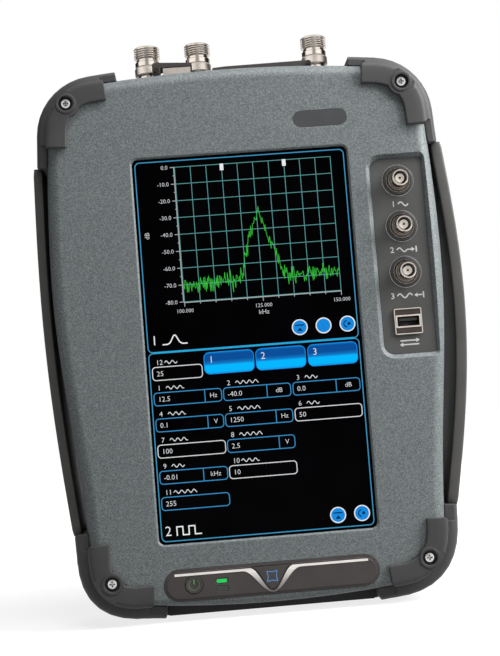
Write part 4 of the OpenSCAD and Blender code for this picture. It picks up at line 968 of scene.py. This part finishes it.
class TESTER_OT_build_straps(Operator):
    """Build the two side straps with rounded edges along their bowed lines"""

    bl_idname = "tester.build_straps"
    bl_label = "Build Straps"

    left_thickness: length("Left thickness", "Thickness of the left strap", 5.8)
    right_thickness: length("Right thickness", "Thickness of the right strap", 7.2)
    edge: length("Edge", "Radius of a strap's edges", 1.3)
    end_round: length("Round ends", "Length over which a strap's end is rounded", 0.7)
    end_reach: length("End reach", "Length of a strap's end over its link, towards the bumper", 2.2)
    upper_reach: length("Upper reach", "Outer face's distance from the middle at a strap's upper end", 122.69)
    lower_reach: length("Lower reach", "Outer face's distance from the middle at a strap's lower end", 114.01)
    left_bow: length("Left bow", "Rise of the left strap's bow", 4.4)
    right_bow: length("Right bow", "Rise of the right strap's bow", 10.4)

    def strap(self, node, side, bow, thickness, material):
        """Band of rounded sections along a bowed line, with its side 1 at the right and -1 at the left."""
        base, tip = low(node), high(node)
        base.z -= self.end_reach
        tip.z += self.end_reach
        end_inset = 0.6 * self.end_round
        stations = 56
        loops = []
        for i in range(stations + 1):
            u = i / stations
            z = tip.z + (base.z - tip.z) * u
            x = self.upper_reach + (self.lower_reach - self.upper_reach) * u + bow * math.sin(math.pi * u)
            bend = max(0, 1 - min(z - base.z, tip.z - z) / self.end_round)
            inset = end_inset * (1 - math.sqrt(max(0, 1 - bend ** 2)))
            section = rounded(x - thickness + inset, x - inset, base.y + inset, tip.y - inset,
                              self.edge - inset / 2, 5)
            loops.append([(side * px, py, z) for px, py in section])
        verts, faces = skin(loops, mirrored=side > 0)
        band = piece(node + "_band", verts, faces, material, bend=50)
        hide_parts(node)

    def execute(self, context):
        material = finish_of("strap_rubber", context.scene.tester_finish)
        self.strap("strap_left", -1, self.left_bow, self.left_thickness, material)
        self.strap("strap_right", 1, self.right_bow, self.right_thickness, material)
        return {"FINISHED"}


class TESTER_OT_build_rail_ends(Operator):
    """Build the two ends that carry the bottom rail in between the bumpers"""

    bl_idname = "tester.build_rail_ends"
    bl_label = "Build Rail Ends"

    run: length("Run", "Length of an end beyond the rail", 4.2)
    root: length("Root", "Length of an end inside the rail", 1.5)
    height: length("Height", "Height of an end's top over the rail's underside", 6.4)
    slope: length("Slope", "Rise of an end's underside", 0.8)

    def execute(self, context):
        material = finish_of("rail_rubber", context.scene.tester_finish)
        base, tip = low("bottom_rail"), high("bottom_rail")
        near, far = tip.x - self.root, tip.x + self.run
        under, top, inset = base.z + 0.2, base.z + self.height, 0.3
        outline = [(near, under), (tip.x, under), (far, base.z + self.slope), (far, top), (near, top)]
        for side, name in ((-1, "left"), (1, "right")):
            loops = [[(side * x, y, z) for x, z in outline] for y in (base.y + inset, tip.y - inset)]
            verts, faces = skin(loops, mirrored=side < 0)
            piece(f"rail_end_{name}", verts, faces, material)
        return {"FINISHED"}


class TESTER_OT_build_screen(Operator):
    """Build the lit picture on the screen: chart, trace, fields, buttons and plain numbers"""

    bl_idname = "tester.build_screen"
    bl_label = "Build Screen"

    chart: places("Chart", "Left, right, low and high edge from the screen's middle",
                  (-38.7, 54.0, 27.2, 107.3))
    round_radius: length("Round buttons", "Radius of the round buttons", 4.7)
    text: length("Text height", "Height of the numbers of the fields", 2.9)
    small_text: length("Small text height", "Height of the units", 2.7)
    stroke: length("Stroke", "Width of the lines of the axes and the fields", 0.5)
    field_corner: length("Field corner", "Radius of the fields' corners", 2.2)

    def plates(self, rise):
        """Empty plates on the glass, drawn from the screen's middle."""
        return Plates(self.surface, rise, self.mid_z)

    def frames(self, settings):
        """Blue frames of the two halves and the bright line between them."""
        w = self.half_w - settings.margin
        h = self.half_h - settings.margin
        split, corner, width, half_bar = -1.5, 3, 0.58, 0.55
        lines = self.plates(rise=0.05)
        lines.frame(-w, w, split, h, corner, width)
        lines.frame(-w, w, -h, split, corner, width)
        lines.build("screen_frame_lines", lit("screen_frame", settings.frame_line), "display")
        divider = self.plates(rise=0.07)
        divider.slab(rounded(corner - w, w - corner, split - half_bar, split + half_bar, 0.4, 3))
        divider.build("screen_divider", lit("screen_divider_line", settings.divider), "display")

    def grid(self, settings):
        """Grid of the chart with its axes, ticks and markers."""
        x0, x1, z0, z1 = self.chart
        columns = [x0 + (x1 - x0) * i / settings.columns for i in range(settings.columns + 1)]
        rows = [z0 + (z1 - z0) * i / settings.rows for i in range(settings.rows + 1)]
        half_rows = [z0 + (z1 - z0) * i / (2 * settings.rows) for i in range(2 * settings.rows + 1)]
        line, tick, long_tick = 0.36, 0.4, 2.6
        grid = self.plates(rise=0.03)
        for x in columns:
            grid.line([(x, z0), (x, z1)], line)
        grid.rise = 0.04
        for z in rows:
            grid.line([(x0, z), (x1, z)], line)
        grid.build("screen_grid", lit("screen_grid_lines", settings.grid), "display")
        axes = self.plates(rise=0.05)
        axes.line([(x0 - 0.5, z0), (x0 - 0.5, z1)], self.stroke)
        axes.line([(x0, z0 - 0.4), (x1, z0 - 0.4)], self.stroke)
        for i, z in enumerate(half_rows):
            axes.line([(x0 - (1.2 if i % 2 else long_tick), z), (x0 - 0.6, z)], tick)
        for i, x in enumerate(columns):
            axes.line([(x, z0 - (1.4 if i % 5 else long_tick)), (x, z0 - 0.5)], tick)
        axes.build("screen_axes", lit("screen_axis_lines", settings.axis), "display")
        self.axis_numbers(settings, rows)
        half, below, above = 1.1, 3.7, 0.3
        markers = self.plates(rise=0.09)
        for x in (columns[3], columns[7]):
            markers.slab(rounded(x - half, x + half, z1 - below, z1 + above, 0.2, 2))
        markers.build("screen_markers", lit("screen_marker", settings.white), "display")

    def axis_numbers(self, settings, rows):
        """Numbers and units along the chart's axes."""
        x0, x1, z0 = self.chart[:3]
        numbers = self.plates(rise=0.05)
        for i, z in enumerate(reversed(rows)):
            numbers.numerals(f"{-10 * i}.0", x0 - 4, z, 2.4, "RIGHT")
        for i in range(3):
            numbers.numerals(f"{100 + 25 * i}.000", x0 + (x1 - x0) * i / 2, z0 - 5.4, 2.2, "CENTER")
        numbers.numerals("dB", -57.6, 67.5, self.small_text, "CENTER", turn=90)
        numbers.numerals("kHz", 7.6, 17.9, self.small_text, "CENTER")
        numbers.build("screen_axis_numbers", lit("screen_number", settings.white, 0.8), "display")

    def trace(self, settings):
        """Trace with a noise floor and one broad peak."""
        x0, x1 = self.chart[:2]
        peak_x, peak_z, floor_left, floor_right = 8.3, 79.0, 37.0, 39.6
        half_left, half_right = 11.7, 12.9
        steep_left, steep_right = 0.7, 0.95
        draw = random.Random(settings.seed)
        count = 250
        points = []
        for i in range(count + 1):
            u = i / count
            x = x0 + (x1 - x0) * u
            level = floor_left + (floor_right - floor_left) * u
            before = x < peak_x
            away = abs(x - peak_x) / (half_left if before else half_right)
            rise = max(0.0, 1 - away) ** (steep_left if before else steep_right)
            noise = draw.gauss(0, 2.5) * (1 - 0.4 * rise) - 2.4 * max(0.0, draw.gauss(-0.8, 1))
            points.append((x, level + (peak_z - level) * rise + noise))
        line = self.plates(rise=0.08)
        line.line(points, 0.32)
        line.build("screen_trace", lit("screen_trace_line", settings.trace), "display")

    def buttons(self, settings):
        """Three glossy buttons with their numbers, and the round ones."""
        white = lit("screen_button_white", settings.white)
        mid_z, height, width, corner = -9.9, 13.0, 29.6, 3.4
        z0, z1 = mid_z - height / 2, mid_z + height / 2
        faces, rims, words = self.plates(rise=0.06), self.plates(rise=0.08), self.plates(rise=0.12)
        for i, x in enumerate((-15.3, 15.2, 45.9)):
            left, right = x - width / 2, x + width / 2
            faces.slab(rounded(left, right, z0, z1, corner, 8))
            rims.frame(left, right, z0, z1, corner, 0.45)
            words.numerals(str(i + 1), left + 3, z1 - 4.6, 4.0)
        glossy = glossy_button("screen_button_face", settings, self.mid_z + z0, self.mid_z + z1)
        faces.build("screen_buttons", glossy, "display")
        rims.build("screen_button_rims", lit("screen_rim", shade(settings.button, 1.1)), "display")
        words.build("screen_button_numbers", white, "display")
        self.round_buttons(settings, white)

    def round_buttons(self, settings, white):
        """Five round buttons, with a plain icon of a bar and an arrow, or of a bow and a dot, or none."""
        r = self.round_radius
        upper, lower = 7.2, -104
        discs, rings, icons = self.plates(rise=0.06), self.plates(rise=0.09), self.plates(rise=0.1)
        for x, z, icon in ((27.8, upper, "bar"), (41.9, upper, None), (56.1, upper, "bow"),
                           (41.3, lower, "bar"), (55.4, lower, "bow")):
            discs.slab(circle(x, z, r - 0.5))
            rings.ring(circle(x, z, r), circle(x, z, r - 0.65))
            if icon == "bar":
                icons.slab([(x - 2.7, z + 0.9), (x + 2.7, z + 0.9), (x + 2.7, z + 1.6), (x - 2.7, z + 1.6)])
                icons.slab([(x - 1.7, z - 2.2), (x + 1.7, z - 2.2), (x, z - 0.3)])
            elif icon == "bow":
                icons.line(arc(x - 0.2, z, 1.9, 100, 260, 12), 0.6)
                icons.slab(circle(x + 0.9, z, 0.9, 20))
        discs.build("screen_round_buttons", lit("screen_round_face", settings.button), "display")
        rings.build("screen_round_rims", white, "display")
        icons.build("screen_round_icons", lit("screen_icon", settings.icon), "display")

    def fields(self, settings):
        """Rows of outlined value fields with plain numbers and units, and one field above them."""
        width, height, pitch, first = 40.0, 8.0, 15.2, -28.7
        indent, drop, label_rise, bar_gap = 2.6, 0.2, 6.4, 0.3
        columns = (-40.9, -0.2, 40.7)
        unit_cells = {"Hz": 10, "dB": 14.2, "V": 9.4, "kHz": 14.2}
        # Value and unit of each field. A field without a unit is white, and one has an empty unit.
        rows = (
            (("12.5", "Hz"), ("-40.0", "dB"), ("0.0", "dB")),
            (("0.1", "V"), ("1250", "Hz"), ("50", None)),
            (("100", None), ("2.5", "V")),
            (("-0.01", "kHz"), ("10", None)),
            (("255", ""),),
        )
        blue, white, words = self.plates(rise=0.05), self.plates(rise=0.05), self.plates(rise=0.06)
        number = 0
        for k, row in enumerate(rows):
            z = first - pitch * k
            z0, z1 = z - height / 2, z + height / 2
            for x, (value, unit) in zip(columns, row):
                number += 1
                left, right = x - width / 2, x + width / 2
                outlines = white if unit is None else blue
                outlines.frame(left, right, z0, z1, self.field_corner, self.stroke)
                words.numerals(value, left + indent, z - drop, self.text)
                if unit:
                    cell = unit_cells[unit]
                    blue.line([(right - cell, z0 + bar_gap), (right - cell, z1 - bar_gap)], self.stroke)
                    words.numerals(unit, right - cell / 2, z, self.small_text, "CENTER")
                self.label(words, number, left + indent, z + label_rise)
        left, right, z, half = -60.7, -31.1, -13.8, 4.1
        white.frame(left, right, z - half, z + half, self.field_corner, self.stroke)
        words.numerals("25", left + indent, z - drop, self.text)
        self.label(words, number + 1, left + indent, z + label_rise)
        blue.build("screen_blue_fields", lit("screen_field_blue", settings.field), "display")
        white.build("screen_white_fields", lit("screen_field_white", settings.white, 0.85), "display")
        words.build("screen_numbers", lit("screen_text", settings.white, 0.9), "display")

    def label(self, plates, number, x, z):
        """Plain field number with a short wave beside it."""
        gap, step, swing, phase = 5.2, 0.6, 0.9, 1.05
        count = 13 + 5 * (number % 3)
        plates.numerals(str(number), x, z, self.text)
        plates.line([(x + gap + i * step, z + swing * math.sin(i * phase)) for i in range(count)], 0.42)

    def titles(self, settings):
        """Number and plain symbol of each half: a single peak and a square wave."""
        number_x, symbol_x, half = -60.0, -53.0, 2.4
        upper, lower = 5.4, -105.6
        peak = [(symbol_x + i * 0.5, upper - half + 5.2 * math.exp(-((i - 14) / 4.5) ** 2))
                for i in range(29)]
        square = [(symbol_x + i // 2 * 3.5, lower + (half if (i + 1) // 2 % 2 else -half)) for i in range(9)]
        marks = self.plates(rise=0.06)
        for number, z, symbol in (("1", upper, peak), ("2", lower, square)):
            marks.numerals(number, number_x, z, 5.6)
            marks.line(symbol, 0.7)
        marks.build("screen_titles", lit("screen_title", settings.white), "display")

    def execute(self, context):
        settings = context.scene.tester_screen
        base, tip = low("touch_glass"), high("touch_glass")
        self.surface = base.y
        self.mid_z = (base.z + tip.z) / 2
        self.half_w = (tip.x - base.x) / 2 - settings.lap
        self.half_h = (tip.z - base.z) / 2 - settings.lap
        for part in (self.frames, self.grid, self.trace, self.buttons, self.fields, self.titles):
            part(settings)
        return {"FINISHED"}


class TESTER_OT_print_panel(Operator):
    """Print plain marks on the side panel and set the bright rims of the washers and the port"""

    bl_idname = "tester.print_panel"
    bl_label = "Print Panel"

    mark: length("Mark height", "Height of the printed numbers", 3.4)
    drop: length("Mark drop", "Distance of a mark below its jack", 14.2)
    port_drop: length("Port mark drop", "Distance of the arrows below the port's middle", 12.6)
    stroke: length("Mark stroke", "Width of the printed lines", 0.8)

    def jack_mark(self, marks, number, node, half, periods):
        """Number and wave below a jack, with an arrow to a bar at the second and from one at the third."""
        x, z = middle(node).x, middle(node).z - self.drop
        marks.numerals(str(number), x - half, z, self.mark, weight=0.012)
        gap, period, swing, steps = 4, 6, 1.2, 36
        wave = [(x - half + gap + period * i / steps, z + swing * math.sin(2 * math.pi * i / steps))
                for i in range(round(periods * steps) + 1)]
        marks.wave(wave, self.stroke)
        if number > 1:
            bar, bar_half, far, near = x + half, 1.8, 6, 1.2
            marks.slab(rounded(bar - self.stroke, bar, z - bar_half, z + bar_half, 0.2, 2))
            ends = (bar - far, bar - near)
            self.arrow(marks, *(ends if number == 2 else ends[::-1]), z)

    def arrow(self, marks, start, tip, z):
        """Level arrow from a start to a tip."""
        side = 1 if tip > start else -1
        neck = tip - side * 2
        half = self.stroke / 2 * side
        wing = 1.3 * side
        marks.slab([(start, z - half), (neck, z - half), (neck, z - wing), (tip, z), (neck, z + wing),
                    (neck, z + half), (start, z + half)])

    def washer_rims(self, tones):
        """Thin bright ring round each washer."""
        base, tip = low("bayonet_washers"), high("bayonet_washers")
        washer_r = (tip.x - base.x) / 2
        below_face, clearance, width, count = 0.75, 0.02, 0.26, 64
        rims = Plates(tip.y, tip.y - base.y - below_face)
        for node in BAYONETS:
            radii = (washer_r + clearance + width, washer_r + clearance)
            rims.ring(*[circle(middle(node).x, middle(node).z, radius, count) for radius in radii])
        rims.build("washer_rims", finish_of("sheet_steel", tones), "sheet_steel")

    def port_rims(self, tones):
        """Bright border of the port's frame and bright lip of its mouth."""
        bright = finish_of("satin_nickel", tones)
        base, tip = low("usb_frame"), high("usb_frame")
        border = Plates(base.y, rise=0.06)
        border.frame(base.x, tip.x, base.z, tip.z, 1, 0.6)
        border.build("port_border", bright, "sheet_steel")
        base, tip = low("usb_shell"), high("usb_shell")
        proud, overlap = 0.4, 0.5
        lip = Plates(base.y, rise=0.12)
        lip.frame(base.x - proud, tip.x + proud, base.z - proud, tip.z + proud, 0.6, proud + overlap)
        lip.build("port_lip", bright, "sheet_steel")

    def execute(self, context):
        tones = context.scene.tester_finish
        print_white = moulded("printed_white", tones.print_white, 0.5, edge=0.05, depth=0.004, lift=1.05)
        marks = Plates(low("io_panel").y, rise=0.04)
        for number, (node, half, periods) in enumerate(zip(BAYONETS, (5, 8, 10), (1, 1, 1.5)), 1):
            self.jack_mark(marks, number, node, half, periods)
        port = middle("usb_frame")
        tail, point, apart = 5.5, 6, 1.2
        for side in (1, -1):
            z = port.z - self.port_drop + side * apart
            self.arrow(marks, port.x - side * tail, port.x + side * point, z)
        marks.build("panel_marks", print_white, "panel")
        self.washer_rims(tones)
        self.port_rims(tones)
        return {"FINISHED"}


class TESTER_OT_mark_keys(Operator):
    """Set the symbols on the keys and light the upper lamp"""

    bl_idname = "tester.mark_keys"
    bl_label = "Mark Keys"

    dish: length("Dish", "Depth of the power key's dish", 0.28)
    symbol: length("Power symbol", "Radius of the power symbol", 3.3)
    square: length("Home symbol", "Half of the width of the home symbol", 2.9)
    pinch: length("Pinch", "How far the sides of the home symbol bend in", 0.5)
    square_drop: length("Home symbol drop", "Distance of the home symbol's middle from its key's top", 5.8)

    def power_symbol(self, tones):
        """Open circle with a bar in its gap."""
        key = middle("power_key")
        stroke = 0.7
        mark = Plates(low("power_key").y + self.dish, rise=0.06)
        mark.line(arc(key.x, key.z, self.symbol, 125, 415, 36), stroke)
        mark.line([(key.x, key.z + 0.6), (key.x, key.z + self.symbol + 0.9)], stroke)
        green = lit("power_symbol_green", tones.power_mark)
        mark.build("power_symbol", green, "key_plastic", body="power_key")

    def home_symbol(self, tones):
        """Square whose sides bend in."""
        corner, waist = self.square, self.square - self.pinch
        quarter = [(-corner, -corner), (0, -waist)]
        outline = []
        for _ in range(4):
            outline += quarter
            quarter = [(-z, x) for x, z in quarter]
        mark = Plates(low("home_key").y, 0.04, high("home_key").z - self.square_drop)
        mark.line(outline + outline[:1], 0.5)
        mark.build("home_symbol", lit("home_symbol_blue", tones.home_mark), "key_plastic", body="home_key")

    def lamps(self, tones):
        """Lit upper lamp and unlit lower one, within their windows; the unlit one glows faintly, a painted
        glow.
        """
        base, tip = low("indicator_lenses"), high("indicator_lenses")
        side, corner = 0.6, 0.5
        # The unlit lamp's colour is drawn as a faint painted glow.
        for name, look, tone, z0, z1 in (
                ("lamp_lit", "lamp_green", tones.lamp_on, tip.z - 2.5, tip.z - 0.5),
                ("lamp_dim", "lamp_unlit", tones.lamp_off, base.z + 0.6, base.z + 2.3)):
            lamp = Plates(base.y, rise=0.03)
            lamp.slab(rounded(base.x + side, tip.x - side, z0, z1, corner, 4))
            lamp.build(name, lit(look, tone), "lamp")

    def execute(self, context):
        for part in (self.power_symbol, self.home_symbol, self.lamps):
            part(context.scene.tester_finish)
        return {"FINISHED"}


# Level of the studio in reflections, by the turn in degrees from the front towards the right
REFLECTED_STUDIO = (
    (-180, 0.5), (-150, 0.03), (-98, 0.03), (-84, 1.3), (-26, 1.3), (-14, 0.45), (8, 0.45),
    (20, 1.4), (64, 1.4), (76, 0.03), (126, 0.03), (140, 0.8), (180, 0.5),
)

# Place and size of each lamp and the point that all of them face, in metres
LAMPS = {
    "key": ((0.75, -0.26, 0.65), (0.42, 0.68)),
    "top": ((0.15, -0.5, 1.35), (0.6, 0.4)),
    "fill": ((-0.9, -0.7, 0.5), (0.6, 0.6)),
    "back": ((0.6, 1.1, 0.3), (0.8, 0.5)),
}
LAMP_AIM = (0, 0, 0.17)


class TESTER_OT_build_stage(Operator):
    """Build the floor, the lamps, the world and the camera"""

    bl_idname = "tester.build_stage"
    bl_label = "Build Stage"

    def floor(self):
        """Pale floor that looks white away from the object and keeps the object's shadow."""
        finish = Finish("studio_floor_paper")
        cloud = finish.noise(size=120, detail=2)
        finish.set("Base Color", finish.cloudy(cloud, linear(135, 135, 135), linear(139, 139, 139)))
        finish.set("Roughness", 0.9)
        finish.set("Specular IOR Level", 0.0)
        away = finish.add("VectorMath")
        away.operation = "LENGTH"
        finish.join(finish.place, away.inputs[0])
        glow = finish.span(away.outputs["Value"], (0.15, 0.6), (0.8, 1.0))
        finish.set("Emission Color", (1, 1, 1))
        finish.set("Emission Strength", finish.math("MULTIPLY", finish.seen(), glow))
        reach = 4.0
        mesh = bpy.data.meshes.new("studio_floor")
        corners = [(-reach, -reach, 0), (reach, -reach, 0), (reach, reach, 0), (-reach, reach, 0)]
        mesh.from_pydata(corners, [], [(0, 1, 2, 3)])
        mesh.materials.append(finish.material)
        put("studio_floor", mesh)

    def world(self, stage):
        """White backdrop, which reflections see as bright walls with dark stretches between them."""
        world = bpy.data.worlds.new("studio")
        bpy.context.scene.world = world
        world.use_nodes = True
        nodes = Nodes(world.node_tree)
        background = nodes.add("Background")
        background.inputs["Color"].default_value = (1, 1, 1, 1)
        nodes.join(background.outputs[0], nodes.add("OutputWorld").inputs["Surface"])
        view = nodes.add("TexCoord").outputs["Generated"]
        x, y, z = [nodes.axis(view, name) for name in "XYZ"]
        around = nodes.math("ARCTAN2", x, nodes.math("MULTIPLY", y, -1.0))
        stops = [((turn + 180) / 360, (level, level, level)) for turn, level in REFLECTED_STUDIO]
        walls = nodes.ramp(nodes.span(around, (-math.pi, math.pi), (0, 1)), stops)
        overhead = nodes.span(z, (0.45, 0.7), (0, 1))
        walls = nodes.mix(overhead, walls, (0.9, 0.9, 0.9))
        backdrop = nodes.mix(nodes.add("LightPath").outputs["Is Camera Ray"], walls, (1, 1, 1))
        even = (stage.ambient, stage.ambient, stage.ambient)
        nodes.join(nodes.mix(nodes.seen(), even, backdrop), background.inputs["Strength"])

    def lamp(self, name, place, size, watts):
        light = bpy.data.lights.new(name, "AREA")
        light.shape = "RECTANGLE"
        light.size, light.size_y = size
        light.energy = watts
        holder = put(name, light)
        holder.location = place
        holder.rotation_euler = (Vector(LAMP_AIM) - Vector(place)).to_track_quat("-Z", "Y").to_euler()

    def camera(self, stage):
        lens = bpy.data.cameras.new("camera")
        lens.sensor_fit = "VERTICAL"
        lens.sensor_height = 36
        lens.lens = stage.lens
        lens.clip_start = 0.01
        right = Vector(stage.camera_right).normalized()
        up = Vector(stage.camera_up).normalized()
        pose = Matrix((right, up, right.cross(up))).transposed().to_4x4()
        pose.translation = stage.camera_place
        holder = put("camera", lens)
        holder.matrix_world = pose
        bpy.context.scene.camera = holder

    def execute(self, context):
        stage = context.scene.tester_stage
        context.scene.view_settings.view_transform = "Standard"
        self.camera(stage)
        self.floor()
        self.world(stage)
        for name, (place, size) in LAMPS.items():
            self.lamp(name + "_light", place, size, getattr(stage, name))
        return {"FINISHED"}


class TESTER_OT_flag_metal(Operator):
    """Keep the lamps' glare off the bare metal, which then mirrors the studio only"""

    bl_idname = "tester.flag_metal"
    bl_label = "Flag Metal"

    def is_metal(self, thing):
        if not thing.data.materials:
            return False
        shaders = [n for n in thing.data.materials[0].node_tree.nodes if n.type == "BSDF_PRINCIPLED"]
        return any(shader.inputs["Metallic"].default_value == 1 for shader in shaders)

    def execute(self, context):
        flagged = bpy.data.collections.new("flagged_metal")
        things = list(context.scene.collection.all_objects)
        for thing in things:
            if thing.type == "MESH" and self.is_metal(thing):
                flagged.objects.link(thing)
        for entry in flagged.collection_objects:
            entry.light_linking.link_state = "EXCLUDE"
        for thing in things:
            if thing.type == "LIGHT":
                thing.light_linking.receiver_collection = flagged
        return {"FINISHED"}


class TESTER_PT_build(Panel):
    """Sidebar panel with the tester's settings and build steps"""

    bl_idname = "TESTER_PT_build"
    bl_label = "Radio Communication Tester"
    bl_space_type = "VIEW_3D"
    bl_region_type = "UI"
    bl_category = "Tester"

    def draw(self, context):
        for step in OPERATORS:
            self.layout.operator(step.bl_idname)
        for group in GROUPS:
            settings = getattr(context.scene, group)
            for name in settings.bl_rna.properties.keys():
                if name not in ("rna_type", "name"):
                    self.layout.prop(settings, name)


GROUPS = {"tester_finish": TesterFinish, "tester_screen": TesterScreen, "tester_stage": TesterStage}
OPERATORS = (
    TESTER_OT_build_stage,
    TESTER_OT_paint_shells,
    TESTER_OT_finish_rubber,
    TESTER_OT_finish_metal,
    TESTER_OT_finish_plastics,
    TESTER_OT_finish_inside,
    TESTER_OT_build_rf_jacks,
    TESTER_OT_build_low_bumpers,
    TESTER_OT_build_straps,
    TESTER_OT_build_rail_ends,
    TESTER_OT_build_screen,
    TESTER_OT_print_panel,
    TESTER_OT_mark_keys,
    TESTER_OT_flag_metal,
)


def register():
    for cls in (*GROUPS.values(), *OPERATORS, TESTER_PT_build):
        bpy.utils.register_class(cls)
    for name, cls in GROUPS.items():
        setattr(bpy.types.Scene, name, PointerProperty(type=cls))


def unregister():
    for name in GROUPS:
        delattr(bpy.types.Scene, name)
    for cls in (TESTER_PT_build, *reversed(OPERATORS), *reversed(tuple(GROUPS.values()))):
        bpy.utils.unregister_class(cls)


def main():
    """Builds everything in order."""
    register()
    for step in OPERATORS:
        group, name = step.bl_idname.split(".")
        getattr(getattr(bpy.ops, group), name)()


if __name__ == "__main__":
    main()
